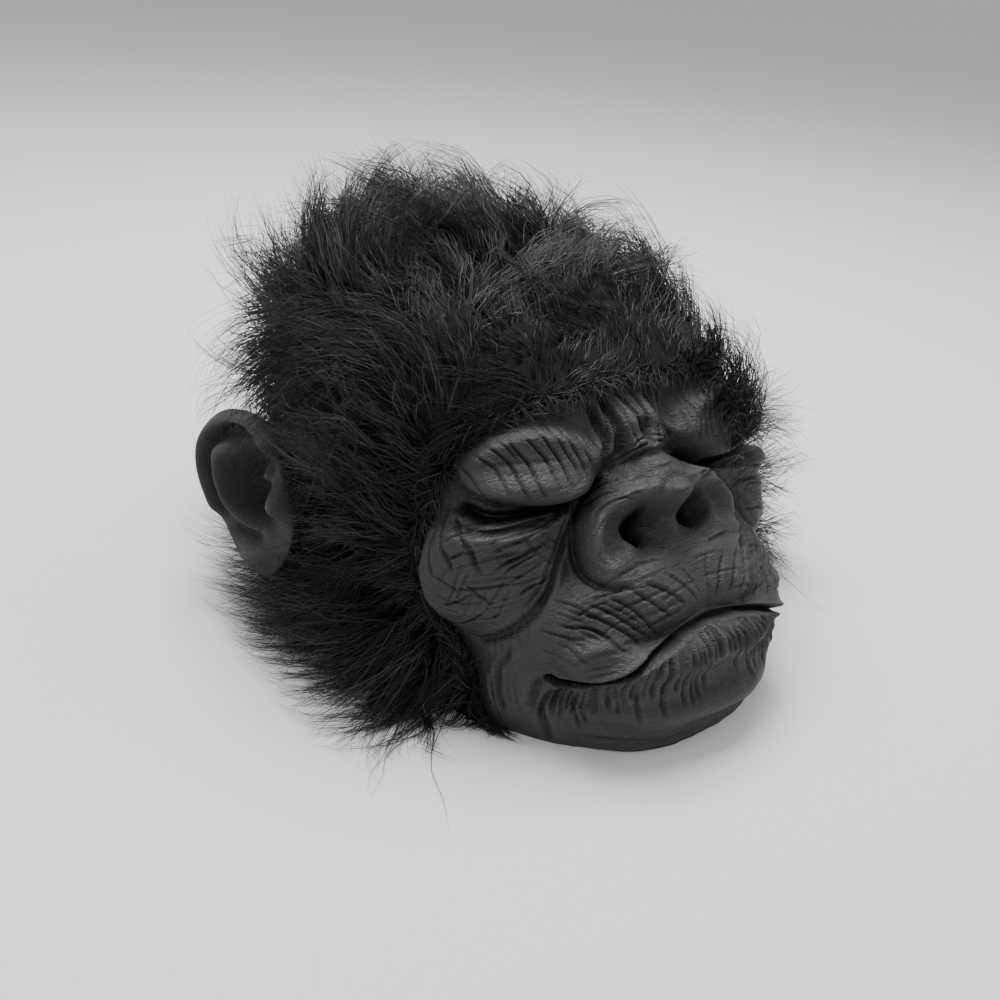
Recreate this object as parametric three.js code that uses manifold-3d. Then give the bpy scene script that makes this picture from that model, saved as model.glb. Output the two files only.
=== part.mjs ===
// A gorilla mask that goes over the whole head: a moulded latex face with eye slits and nostrils,
// two latex ears, and a faux-fur hood. Millimetres, +Z up. It stands on its neck opening at Z = 0,
// looks along -Y and leans back a little. X = 0 is its plane of symmetry.
import * as THREE from "three";
import { mergeVertices } from "three/addons/utils/BufferGeometryUtils.js";
import Module from "manifold-3d";

const wasm = await Module();
wasm.setup();

// Driving sizes of the head form, before the lean
const leanDegrees = 20; // the face leans back from upright
const neckCut = 45; // height of the neck opening's plane over the chin line, below the axis
const faceHeight = 150; // chin line to brow line, where the dome begins
const skullHalfWidth = 95;
const skullFront = 90; // axis to brow line
const skullBack = 112; // axis to back of head
const muzzleRise = 30; // how far the muzzle stands ahead of the brow line
const domeHeight = 82; // brow line to crown
const domeTaper = 1.3; // above 1 the dome narrows to a crest
const crownShift = 60; // the crown lies this far behind the axis
const chartRadius = 100; // an arc of this radius turns a distance across the face into an angle

// Sheet sizes
const latexWall = 2.4;
const backingWall = 2; // hood's cloth backing
const coatGap = 0.35; // backing to fur
const matDepth = 2; // fur at the roots, before its locks begin
const coatClear = 1; // the fur stops this far over the surface
const lapGap = 2.5; // latex to backing, at the corners of their facets
const lapSink = 1.4; // the latex lies this much deeper under the hood
const lapWidth = 20; // the latex goes this far under the hood

// Reliefs of the face
const browRise = 13;
const cheekRise = 10;
const noseRise = 19;
const wingRise = 7;
const nostrilDepth = 8;
const eyeDepth = 9;
const lipRise = 6;
const mouthDepth = 8;
const foldDepth = 4;
const frownRise = 5;
const edgeFlat = 4; // the latex is plain this near the opening
const edgeBlend = 12;

// Head sections. level and the rest are shares: level of faceHeight, front of skullFront,
// muzzle of muzzleRise, back of skullBack, width of skullHalfWidth. square is the outline's power.
const sectionColumns = ["level", "front", "muzzle", "back", "width", "square"];
const sections = [
  [-0.2, 0.98, 0.05, 0.55, 0.72, 2.3],
  [0.0, 1.02, 0.62, 0.66, 0.84, 2.4],
  [0.17, 1.03, 0.95, 0.76, 0.91, 2.5],
  [0.37, 1.02, 1.0, 0.86, 0.94, 2.5],
  [0.57, 1.0, 0.55, 0.93, 0.96, 2.6],
  [0.77, 1.0, 0.12, 0.98, 0.98, 2.7],
  [1.0, 1.0, 0.0, 1.0, 1.0, 2.5],
];

// Smooth value of a section column at a level
function section(column, level) {
  const c = sectionColumns.indexOf(column);
  const at = (i) => sections[i][c];
  const last = sections.length - 1;
  const share = Math.min(Math.max(level / faceHeight, sections[0][0]), sections[last][0]);
  let i = 0;
  while (i < last - 1 && share > sections[i + 1][0]) i++;
  const slope = (j) => {
    if (j === last) return 0;
    const a = Math.max(j - 1, 0);
    return (at(j + 1) - at(a)) / (sections[j + 1][0] - sections[a][0]);
  };
  const step = sections[i + 1][0] - sections[i][0];
  const t = (share - sections[i][0]) / step;
  return (
    at(i) * (1 + 2 * t) * (1 - t) ** 2 +
    slope(i) * step * t * (1 - t) ** 2 +
    at(i + 1) * t * t * (3 - 2 * t) +
    slope(i + 1) * step * t * t * (t - 1)
  );
}

const crownLevel = faceHeight + (domeHeight * Math.PI) / 2;

// The plain head form: across is measured round the axis from the face's middle, level up the
// face and then over the dome to crownLevel.
function headBase(across, level) {
  const angle = across / chartRadius;
  const dome = Math.min(Math.max((level - faceHeight) / domeHeight, 0), Math.PI / 2);
  const height = level < faceHeight ? level : faceHeight + domeHeight * Math.sin(dome);
  const shrink = Math.cos(dome) ** domeTaper;
  const front =
    skullFront * section("front", level) + muzzleRise * section("muzzle", level);
  const depth = Math.cos(angle) > 0 ? front : skullBack * section("back", level);
  const width = skullHalfWidth * section("width", level);
  const power = Math.cos(angle) > 0 ? section("square", level) : 2.2;
  const reach =
    Math.pow(
      Math.abs(Math.cos(angle) / depth) ** power + Math.abs(Math.sin(angle) / width) ** power,
      -1 / power,
    ) * shrink;
  return new THREE.Vector3(
    reach * Math.sin(angle),
    -reach * Math.cos(angle) + crownShift * Math.sin(dome) ** 1.2,
    height,
  );
}

// The face opening of the hood: half its width at a level, as shares of chartRadius and
// faceHeight. It has a corner at each temple.
const openingColumns = ["level", "half"];
const openingSide = [
  [-0.3, 0.76],
  [0.0, 0.8],
  [0.2, 0.86],
  [0.4, 0.95],
  [0.6, 1.01],
  [0.76, 1.0],
  [0.88, 0.91],
];
const openingOver = [
  [0.88, 0.91],
  [0.97, 0.76],
  [1.02, 0.5],
  [1.045, 0.25],
  [1.055, 0.0],
];

// Value of a column where another column reaches a value, straight between the rows
function lookUp(rows, from, to, value) {
  const [x, y] = [openingColumns.indexOf(from), openingColumns.indexOf(to)];
  const sorted = [...rows].sort((a, b) => a[x] - b[x]);
  let i = 0;
  while (i < sorted.length - 2 && value > sorted[i + 1][x]) i++;
  const t = (value - sorted[i][x]) / (sorted[i + 1][x] - sorted[i][x]);
  const held = Math.min(Math.max(t, 0), 1);
  return sorted[i][y] * (1 - held) + sorted[i + 1][y] * held;
}

const [cornerLevel, cornerHalf] = [openingOver[0][0] * faceHeight, openingOver[0][1] * chartRadius];
const openingTop = openingOver[openingOver.length - 1][0] * faceHeight;

function openingHalf(level) {
  const rows = level > cornerLevel ? openingOver : openingSide;
  return chartRadius * lookUp(rows, "level", "half", level / faceHeight);
}

function openingLevel(across) {
  return faceHeight * lookUp(openingOver, "half", "level", Math.abs(across) / chartRadius);
}

// Pads of the relief: centre and half sizes as shares of chartRadius across and faceHeight up,
// turn in degrees, rise as a share of the named relief. Each lies on both sides.
const padColumns = ["across", "level", "wide", "tall", "turn", "flat", "rise"];
const pads = [
  [browRise, 0.46, 0.89, 0.4, 0.125, 3, 0.5, 1.0],
  [browRise, 0.0, 0.92, 0.12, 0.12, 0, 0.2, 0.35],
  [eyeDepth, 0.52, 0.72, 0.3, 0.04, 2, 0.2, 0.4],
  [cheekRise, 0.7, 0.62, 0.36, 0.17, -14, 0.4, 1.0],
  [cheekRise, 0.86, 0.74, 0.2, 0.14, 0, 0.3, 0.5],
  [noseRise, 0.0, 0.76, 0.2, 0.13, 0, 0.2, 0.5],
  [noseRise, 0.0, 0.69, 0.17, 0.13, 0, 0.3, 0.75],
  [wingRise, 0.26, 0.61, 0.16, 0.1, 12, 0.3, 1.0],
  [nostrilDepth, 0.16, 0.575, 0.1, 0.05, 20, 0.3, -1.0],
  [lipRise, 0.3, 0.44, 0.42, 0.13, -10, 0.4, 1.2],
  [lipRise, 0.5, 0.37, 0.14, 0.06, -8, 0.3, 0.6],
  [lipRise, 0.0, 0.23, 0.52, 0.12, 0, 0.4, 1.3],
  [lipRise, 0.0, 0.08, 0.46, 0.14, 0, 0.4, 0.9],
];

// Ridges and folds: half width and rise as shares of the named relief, then points as shares
// of chartRadius across and faceHeight up. Each lies on both sides.
const creases = [
  {
    size: eyeDepth, half: 0.44, rise: -1,
    at: [[0.16, 0.8], [0.32, 0.77], [0.46, 0.76], [0.62, 0.775], [0.8, 0.81]],
  },
  {
    size: mouthDepth, half: 0.45, rise: -1,
    at: [[0, 0.36], [0.17, 0.345], [0.3, 0.31], [0.43, 0.29], [0.56, 0.305], [0.63, 0.34]],
  },
  {
    size: foldDepth, half: 0.9, rise: -1.3,
    at: [[0.33, 0.74], [0.36, 0.68], [0.42, 0.59], [0.49, 0.52], [0.57, 0.475], [0.67, 0.44], [0.84, 0.41]],
  },
  {
    size: wingRise, half: 0.5, rise: 0.6,
    at: [[0.1, 0.72], [0.24, 0.71], [0.35, 0.665], [0.38, 0.61], [0.34, 0.55], [0.26, 0.525]],
  },
  {
    size: foldDepth, half: 0.8, rise: -1,
    at: [[0.58, 0.3], [0.62, 0.24], [0.64, 0.17], [0.62, 0.1], [0.58, 0]],
  },
  {
    size: frownRise, half: 0.5, rise: -0.9,
    at: [[0.11, 0.8], [0.08, 0.87], [0.06, 0.95], [0.07, 1.03]],
  },
  { size: foldDepth, half: 0.7, rise: -0.8, at: [[0.36, 0.71], [0.5, 0.68], [0.68, 0.7], [0.8, 0.74]] },
  {
    size: foldDepth, half: 0.8, rise: -0.9,
    at: [[0.9, 0.78], [0.96, 0.68], [0.97, 0.56], [0.92, 0.48]],
  },
];

const smooth = (t) => t * t * (3 - 2 * t);
const ramp = (t) => smooth(Math.min(Math.max(t, 0), 1));

function padRelief(size, pad, across, level) {
  const get = (name) => pad[padColumns.indexOf(name)];
  const turn = (get("turn") * Math.PI) / 180;
  const da = Math.abs(across) - get("across") * chartRadius;
  const dv = level - get("level") * faceHeight;
  const u = (da * Math.cos(turn) + dv * Math.sin(turn)) / (get("wide") * chartRadius);
  const w = (dv * Math.cos(turn) - da * Math.sin(turn)) / (get("tall") * faceHeight);
  const away = Math.hypot(u, w);
  if (away >= 1) return 0;
  const fall = Math.max((away - get("flat")) / (1 - get("flat")), 0);
  return size * get("rise") * smooth(1 - fall);
}

// Distance to a crease's line, with 0..1 along it
function nearCrease(at, across, level) {
  let best = [Infinity, 0];
  for (let i = 0; i + 1 < at.length; i++) {
    const [a, b] = [at[i], at[i + 1]].map(([s, t]) => [s * chartRadius, t * faceHeight]);
    const run = [b[0] - a[0], b[1] - a[1]];
    const off = [Math.abs(across) - a[0], level - a[1]];
    const t = Math.min(
      Math.max((off[0] * run[0] + off[1] * run[1]) / (run[0] ** 2 + run[1] ** 2), 0),
      1,
    );
    const away = Math.hypot(off[0] - t * run[0], off[1] - t * run[1]);
    if (away < best[0]) best = [away, (i + t) / (at.length - 1)];
  }
  return best;
}

function creaseRelief(crease, across, level) {
  const [away, along] = nearCrease(crease.at, across, level);
  const crossesMiddle = crease.at[0][0] === 0;
  const ends = Math.min(crossesMiddle ? 1 : along * 5 + 0.2, (1 - along) * 5 + 0.2, 1);
  return crease.size * crease.rise * ends * Math.exp(-((away / (crease.half * crease.size)) ** 2));
}

// How far the latex stands off the plain head form
function relief(across, level) {
  const beside = openingHalf(Math.min(level, cornerLevel)) - Math.abs(across);
  const shown = ramp((Math.min(beside, openingLevel(across) - level) - edgeFlat) / edgeBlend);
  let rise = 0;
  for (const [size, ...pad] of pads) rise += padRelief(size, pad, across, level);
  for (const crease of creases) rise += creaseRelief(crease, across, level);
  return (rise + lapSink) * shown - lapSink;
}

const leanTurn = new THREE.Matrix4()
  .makeTranslation(0, 0, -neckCut)
  .multiply(new THREE.Matrix4().makeRotationX((-leanDegrees * Math.PI) / 180));

function headNormal(across, level) {
  const step = 0.5;
  const l = Math.min(Math.max(level, -faceHeight * 0.2 + step), crownLevel - 2);
  const du = headBase(across + step, l).sub(headBase(across - step, l));
  const dv = headBase(across, l + step).sub(headBase(across, l - step));
  return du.cross(dv).normalize();
}

// A point off the plain head form, leaned
function onHead(across, level, rise, extra = new THREE.Vector3()) {
  return headBase(across, level)
    .addScaledVector(headNormal(across, level), rise)
    .add(extra)
    .applyMatrix4(leanTurn);
}

function toManifold(geometry) {
  const bare = geometry.clone();
  bare.deleteAttribute("normal");
  bare.deleteAttribute("uv");
  const merged = mergeVertices(bare, 1e-3);
  const index = Array.from(merged.index.array);
  const kept = [];
  for (let i = 0; i < index.length; i += 3) {
    const [a, b, c] = index.slice(i, i + 3);
    if (a !== b && b !== c && c !== a) kept.push(a, b, c);
  }
  return new wasm.Manifold(
    new wasm.Mesh({
      numProp: 3,
      vertProperties: new Float32Array(merged.attributes.position.array),
      triVerts: new Uint32Array(kept),
    }),
  );
}

function toMesh(solid, name, material) {
  const body = solid
    .decompose()
    .reduce((most, next) => (next.volume() > most.volume() ? next : most));
  const mesh = body.getMesh();
  const geometry = new THREE.BufferGeometry();
  geometry.setAttribute("position", new THREE.BufferAttribute(mesh.vertProperties, 3));
  geometry.setIndex(Array.from(mesh.triVerts));
  geometry.computeVertexNormals();
  const part = new THREE.Mesh(geometry, material);
  part.name = name;
  return part;
}

// Collects triangles as loose corners
class Faces {
  constructor() {
    this.corners = [];
  }
  tri(a, b, c) {
    for (const p of [a, b, c]) this.corners.push(p.x, p.y, p.z);
  }
  // Diagonal a-c, or b-d when swapped
  quad(a, b, c, d, swapped = false) {
    if (swapped) {
      this.tri(a, b, d);
      this.tri(b, c, d);
    } else {
      this.tri(a, b, c);
      this.tri(a, c, d);
    }
  }
  geometry() {
    const geometry = new THREE.BufferGeometry();
    geometry.setAttribute("position", new THREE.Float32BufferAttribute(this.corners, 3));
    return geometry;
  }
}

// A closed wall between an outer and an inner grid of points, edges joined all round
function wallOf(outer, inner) {
  const faces = new Faces();
  const rows = outer.length - 1;
  const columns = outer[0].length - 1;
  for (let j = 0; j < rows; j++) {
    for (let i = 0; i < columns; i++) {
      const swapped = i >= columns / 2;
      faces.quad(outer[j][i], outer[j][i + 1], outer[j + 1][i + 1], outer[j + 1][i], swapped);
      faces.quad(inner[j][i + 1], inner[j][i], inner[j + 1][i], inner[j + 1][i + 1], !swapped);
    }
  }
  for (let i = 0; i < columns; i++) {
    faces.quad(inner[0][i], inner[0][i + 1], outer[0][i + 1], outer[0][i]);
    faces.quad(outer[rows][i], outer[rows][i + 1], inner[rows][i + 1], inner[rows][i]);
  }
  for (let j = 0; j < rows; j++) {
    faces.quad(outer[j][0], outer[j + 1][0], inner[j + 1][0], inner[j][0]);
    faces.quad(inner[j][columns], inner[j + 1][columns], outer[j + 1][columns], outer[j][columns]);
  }
  return faces;
}

// Latex face: a chart from under the chin to beneath the hood's front
const faceColumns = 36;
const faceRows = 32;
const faceBottom = -0.2 * faceHeight;
const faceTop = openingTop + lapWidth * 0.8;

function faceShell() {
  const outer = [];
  const inner = [];
  for (let j = 0; j <= faceRows; j++) {
    const level = faceBottom + ((faceTop - faceBottom) * j) / faceRows;
    const half = Math.max(openingHalf(level - lapWidth * 0.5), 0.3 * chartRadius) + lapWidth;
    outer.push([]);
    inner.push([]);
    for (let i = 0; i <= faceColumns; i++) {
      const s = (2 * i) / faceColumns - 1;
      const across = half * (s - 0.09 * Math.sin(Math.PI * s));
      const rise = relief(across, level);
      const slope = Math.hypot(
        relief(across + 1, level) - relief(across - 1, level),
        relief(across, level + 1) - relief(across, level - 1),
      );
      const thick = latexWall * Math.min(Math.hypot(1, slope / 2), 1.35);
      outer[j].push(onHead(across, level, rise));
      inner[j].push(onHead(across, level, rise - thick));
    }
  }
  return toManifold(wallOf(outer, inner).geometry());
}

// Through cuts for sight and breath: slots across the face, as shares of chartRadius and faceHeight
const eyeSlotHeight = 8;
const nostrilSlotHeight = 6.5;
const slots = [
  { height: eyeSlotHeight, from: [0.3, 0.768], to: [0.64, 0.773] },
  { height: nostrilSlotHeight, from: [0.12, 0.572], to: [0.21, 0.588] },
];
const slotReach = 30;

function slotCutter({ height, from, to }, side) {
  const [a, b] = [from, to].map(([across, level]) => [side * across * chartRadius, level * faceHeight]);
  const mid = [(a[0] + b[0]) / 2, (a[1] + b[1]) / 2];
  const centre = onHead(mid[0], mid[1], 0);
  const out = headNormal(mid[0], mid[1]).transformDirection(leanTurn);
  const along = onHead(b[0], b[1], 0).sub(onHead(a[0], a[1], 0));
  const length = along.length();
  along.addScaledVector(out, -along.dot(out)).normalize();
  const up = new THREE.Vector3().crossVectors(along, out);
  const shape = new THREE.CylinderGeometry(0.5, 0.5, 2 * slotReach, 16);
  shape.scale(length, 1, height);
  shape.applyMatrix4(new THREE.Matrix4().makeBasis(along, out, up).setPosition(centre));
  return toManifold(shape);
}

// Everything below the neck opening's plane
const groundWide = 10 * skullBack;
const ground = wasm.Manifold.cube([groundWide, groundWide, skullBack], true)
  .translate([0, 0, -skullBack / 2]);

let face = faceShell();
for (const slot of slots) for (const side of [-1, 1]) face = face.subtract(slotCutter(slot, side));
face = face.subtract(ground);

// Hood: a cloth backing and its fur
const hoodColumns = 32;
const hoodRows = 23;
const cornerRow = 12; // rows up the sides of the face opening
const cornerColumns = 5; // columns from the middle of the forehead to the opening's corner
const hoodBottom = -0.3 * faceHeight;
const hoodTop = crownLevel - 9;
const furDepth = 33;
const furLean = 20; // how far a lock's tip lies along the flow from its root
const furStubble = 7; // fur at the face opening
const napeFull = 0.5; // the fur is this much deeper on the nape
const napeLevel = 120;
const napeFade = 60;
const napeAcross = 90; // round the head from the face's middle
const browShort = 0.62; // and this much shorter over the forehead
const browAcross = 140;
const sideFade = 50;
const edgeFade = 30; // the fur grows to its full depth this far from the opening
const earStubble = 1.5; // fur under the ears

// Ears
const earHeight = 78;
const earWidth = 50;
const earThick = 5;
const earRim = 7;
const earBowl = 9;
const earAcross = 1.85 * chartRadius; // round the head from the face's middle
const earLevel = 0.78 * faceHeight;
const earStand = 22; // ear's middle off the head form
const earFlare = 18; // degrees the ear's hollow side turns to the front
const earTilt = 8; // degrees its top leans back
const earClear = 34; // fur is short this near an ear's middle
const earFade = 22;
const stubWide = 15;
const stubTall = 26;
const seatFloor = 0.8; // backing to an ear's stub, at the corners of their facets
const seatGap = 0.35;

const turnAll = 2 * Math.PI * chartRadius;

// Which way fur lies on the +X side: share round to the back, share up
function furFlow(across, level) {
  const away = Math.abs(across) / (turnAll / 2);
  const up = level / crownLevel;
  const round = Math.min(away * 3, 1) * Math.max(1 - up * 0.6, 0.25);
  const rise = up > 0.62 ? 0.9 * (1 - away * 1.8) : -0.25 - 1.1 * Math.max(away - 0.3, 0);
  const length = Math.hypot(round, rise);
  return [round / length, rise / length];
}

// Repeatable uneven value from 0 to 1 for a lock
function uneven(i, j) {
  const s = Math.sin(i * 12.9898 + j * 78.233) * 43758.5453;
  return s - Math.floor(s);
}

function furHeight(across, level) {
  const away = Math.abs(across);
  const beside = level > cornerLevel ? away - cornerHalf : away - openingHalf(level);
  const above = level - openingLevel(away);
  const brow = 1 - browShort * ramp((browAcross - away) / sideFade);
  const share = ramp(Math.max(beside, above) / edgeFade) * brow;
  const ear = Math.hypot(away - earAcross, (level - earLevel) * 0.85) - earClear;
  const height = furStubble + (furDepth - furStubble) * share;
  const low = ramp((napeLevel - level) / napeFade) * ramp((away - napeAcross) / sideFade);
  return earStubble + (height * (1 + napeFull * low) - earStubble) * ramp(ear / earFade);
}

// Distance round and level of the hood grid's places. Both ends of a row are the middle of the face.
const hoodPlaces = Array.from({ length: hoodRows + 1 }, (_, j) => {
  const side = hoodBottom + ((cornerLevel - hoodBottom) * j) / cornerRow;
  const above = Math.max((j - cornerRow) / (hoodRows - cornerRow), 0);
  return Array.from({ length: hoodColumns + 1 }, (_, k) => {
    const half = Math.min(k, hoodColumns - k);
    const evenly = (turnAll * half) / hoodColumns;
    const gap = j < cornerRow ? openingHalf(side) : cornerHalf;
    const beyond = (half - cornerColumns) / (hoodColumns / 2 - cornerColumns);
    const below = half < cornerColumns
      ? (cornerHalf * half) / cornerColumns
      : gap + (turnAll / 2 - gap) * beyond;
    const round = below * (1 - above) + evenly * above;
    const start = j < cornerRow ? side : openingLevel(below);
    return [k > hoodColumns / 2 ? -round : round, start * (1 - above) + hoodTop * above];
  });
});

const clothed = (j, k) =>
  j >= cornerRow || (k >= cornerColumns && k < hoodColumns - cornerColumns);

// Top of a lock over the middle of a grid cell, leaned over along the way that the fur lies
function lockTip(corners, j, k) {
  const mirror = k >= hoodColumns / 2;
  const round = corners.reduce((sum, [r, c]) => sum + Math.abs(hoodPlaces[r][c][0]) / 4, 0);
  const level = corners.reduce((sum, [r, c]) => sum + hoodPlaces[r][c][1] / 4, 0);
  const lock = Math.min(k, hoodColumns - 1 - k);
  const height = furHeight(round, level) * (0.78 + 0.22 * uneven(lock, j));
  const flow = furFlow(round, level);
  const here = onHead(round, level, 0);
  const along = onHead(round + 1, level, 0).sub(here).normalize();
  const up = onHead(round, level + 1, 0).sub(here).normalize();
  const lean = furLean * (height / furDepth);
  const rise = headNormal(round, level).transformDirection(leanTurn)
    .multiplyScalar(height)
    .addScaledVector(along, flow[0] * lean)
    .addScaledVector(up, flow[1] * lean);
  if (mirror) rise.x = -rise.x;
  return rise;
}

// A closed wall over the hood grid from one height off the head form to another, with locks or plain
function hoodWall(low, high, locks) {
  const at = (rise) => hoodPlaces.map((row) => row.map(([round, level]) => onHead(round, level, rise)));
  const [inner, outer] = [at(low), at(high)];
  const faces = new Faces();
  const last = hoodColumns;
  for (let j = 0; j < hoodRows; j++) {
    for (let k = 0; k < last; k++) {
      if (!clothed(j, k)) continue;
      const corners = [[j, k], [j, k + 1], [j + 1, k + 1], [j + 1, k]];
      const mirror = k >= last / 2;
      const [a, b, c, d] = corners.map(([r, q]) => outer[r][q]);
      const [e, f, g, h] = corners.map(([r, q]) => inner[r][q]);
      if (locks) {
        const tip = a.clone().add(b).add(c).add(d).multiplyScalar(0.25).add(lockTip(corners, j, k));
        for (const [from, to] of [[a, b], [b, c], [c, d], [d, a]]) faces.tri(from, to, tip);
      } else {
        faces.quad(a, b, c, d, !mirror);
      }
      faces.quad(f, e, h, g, mirror);
      if (j === 0 || !clothed(j - 1, k)) faces.quad(e, f, b, a);
      if (j < cornerRow && k === cornerColumns) faces.quad(h, e, a, d);
      if (j < cornerRow && k === last - cornerColumns - 1) faces.quad(f, g, c, b);
    }
  }
  const crown = onHead(0, crownLevel, 0);
  const crownOut = new THREE.Vector3(0, 0, 1).transformDirection(leanTurn);
  const crownIn = crown.clone().addScaledVector(crownOut, low);
  crown.addScaledVector(crownOut, locks ? furDepth * 0.8 : high);
  for (let k = 0; k < last; k++) {
    faces.tri(outer[hoodRows][k], outer[hoodRows][k + 1], crown);
    faces.tri(inner[hoodRows][k + 1], inner[hoodRows][k], crownIn);
  }
  return toManifold(faces.geometry());
}

// The right ear's own axes: x to the front, y up, z out of its hollow side
function earPlace() {
  const flare = (earFlare * Math.PI) / 180;
  const tilt = (earTilt * Math.PI) / 180;
  const out = new THREE.Vector3(-Math.cos(flare), -Math.sin(flare), 0);
  const level = new THREE.Vector3(Math.sin(flare), -Math.cos(flare), 0);
  const front = level.clone().applyAxisAngle(out, tilt);
  const up = new THREE.Vector3().crossVectors(out, front);
  const centre = headBase(-earAcross, earLevel);
  centre.addScaledVector(headNormal(-earAcross, earLevel), earStand);
  return leanTurn.clone().multiply(new THREE.Matrix4().makeBasis(front, up, out).setPosition(centre));
}

// Point of an ear's outline at an angle from its front
function earOutline(turn) {
  const [c, s] = [Math.cos(turn), Math.sin(turn)];
  const wide = (earWidth / 2) * (1 - 0.22 * Math.max(-s, 0)) * (c > 0 ? 0.86 : 1.06);
  return [wide * c - 0.04 * earWidth * s, (earHeight / 2) * s];
}

// How far an ear's hollow side stands up at a point
function earRelief(x, y, share) {
  const [u, w] = [x / (earWidth / 2), y / (earHeight / 2)];
  const rim = earRim * Math.exp(-(((share - 0.86) / 0.12) ** 2)) * (u > 0.3 ? 0.4 : 1);
  const bowl = -earBowl * Math.exp(-(((u - 0.1) / 0.42) ** 2) - ((w + 0.12) / 0.34) ** 2);
  const bend = u + 0.32 - 0.25 * w * w;
  const fold = earRim * 0.7 * Math.exp(-((bend / 0.16) ** 2)) * (w < 0.6 ? 1 : 0.4);
  const tragus = earRim * Math.exp(-(((u - 0.72) / 0.22) ** 2) - ((w + 0.08) / 0.2) ** 2);
  return rim + bowl + fold + tragus;
}

const earRings = 5;
const earSpokes = 22;

function earBody() {
  const faces = new Faces();
  const point = (ring, spoke, back) => {
    const [x, y] = earOutline((2 * Math.PI * (spoke % earSpokes)) / earSpokes);
    const share = ring / earRings;
    const edge = Math.sqrt(1 - share ** 4);
    const dish = 5 * share ** 2;
    const z = back
      ? dish - earThick * edge - earBowl * 0.6 * (1 - share ** 2)
      : dish + earRelief(x * share, y * share, share) * edge;
    return new THREE.Vector3(x * share, y * share, z);
  };
  for (const back of [false, true]) {
    for (let r = 0; r < earRings; r++) {
      for (let s = 0; s < earSpokes; s++) {
        const at = [[r, s], [r, s + 1], [r + 1, s + 1], [r + 1, s]];
        const ring = at.map(([q, t]) => point(q, t, back));
        if (!back) ring.reverse();
        const [a, b, c, d] = ring;
        if (r > 0) faces.quad(a, b, c, d);
        else if (back) faces.tri(a, c, d);
        else faces.tri(a, b, d);
      }
    }
  }
  return toManifold(faces.geometry().applyMatrix4(earPlace()));
}

// The oval stub on the ear's back, grown all round for its seat
function earStub(grow) {
  const length = 40;
  const shape = new THREE.CylinderGeometry(0.5, 0.5, length, 24);
  shape.scale(stubWide + 2 * grow, 1, stubTall + 2 * grow);
  shape.rotateX(Math.PI / 2);
  shape.translate(stubWide * 0.3, 0, -earThick - earBowl * 0.5 - length / 2);
  shape.applyMatrix4(earPlace());
  const reach = earHeight / 2;
  const patch = (rise) => [-1, -0.5, 0, 0.5, 1].map((v) =>
    [-1, -0.5, 0, 0.5, 1].map((u) => onHead(-earAcross + u * reach, earLevel + v * reach, rise)));
  const floor = lapGap + backingWall + (grow > 0 ? 0 : seatFloor);
  return toManifold(shape).intersect(toManifold(wallOf(patch(floor + 40), patch(floor)).geometry()));
}

const earRight = earBody().add(earStub(0));
const backingTop = lapGap + backingWall;
const backing = hoodWall(lapGap, backingTop, false).subtract(ground);
const coatBottom = backingTop + coatGap;
const seat = earStub(seatGap);
const coat = hoodWall(coatBottom, coatBottom + matDepth, true)
  .subtract(seat)
  .subtract(seat.mirror([1, 0, 0]))
  .subtract(ground.translate([0, 0, coatClear]));

const latex = new THREE.MeshStandardMaterial({ color: 0x2b2c30, roughness: 0.6 });
const fur = new THREE.MeshStandardMaterial({ color: 0x111113, roughness: 0.9 });
const cloth = new THREE.MeshStandardMaterial({ color: 0x0c0c0d, roughness: 0.95 });

const mask = new THREE.Group();
mask.add(toMesh(face, "latex_face", latex));
mask.add(toMesh(backing, "hood_backing", cloth));
mask.add(toMesh(coat, "fur_hood", fur));
mask.add(toMesh(earRight, "ear_right", latex));
mask.add(toMesh(earRight.mirror([1, 0, 0]), "ear_left", latex));

// The middle of its length lies over the origin
const middleY = new THREE.Box3().setFromObject(mask).getCenter(new THREE.Vector3()).y;
for (const piece of mask.children) piece.geometry.translate(0, -middleY, 0);

export default mask;
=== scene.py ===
import bpy, bmesh, math
import numpy as np
from mathutils import Matrix, Vector, noise


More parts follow.
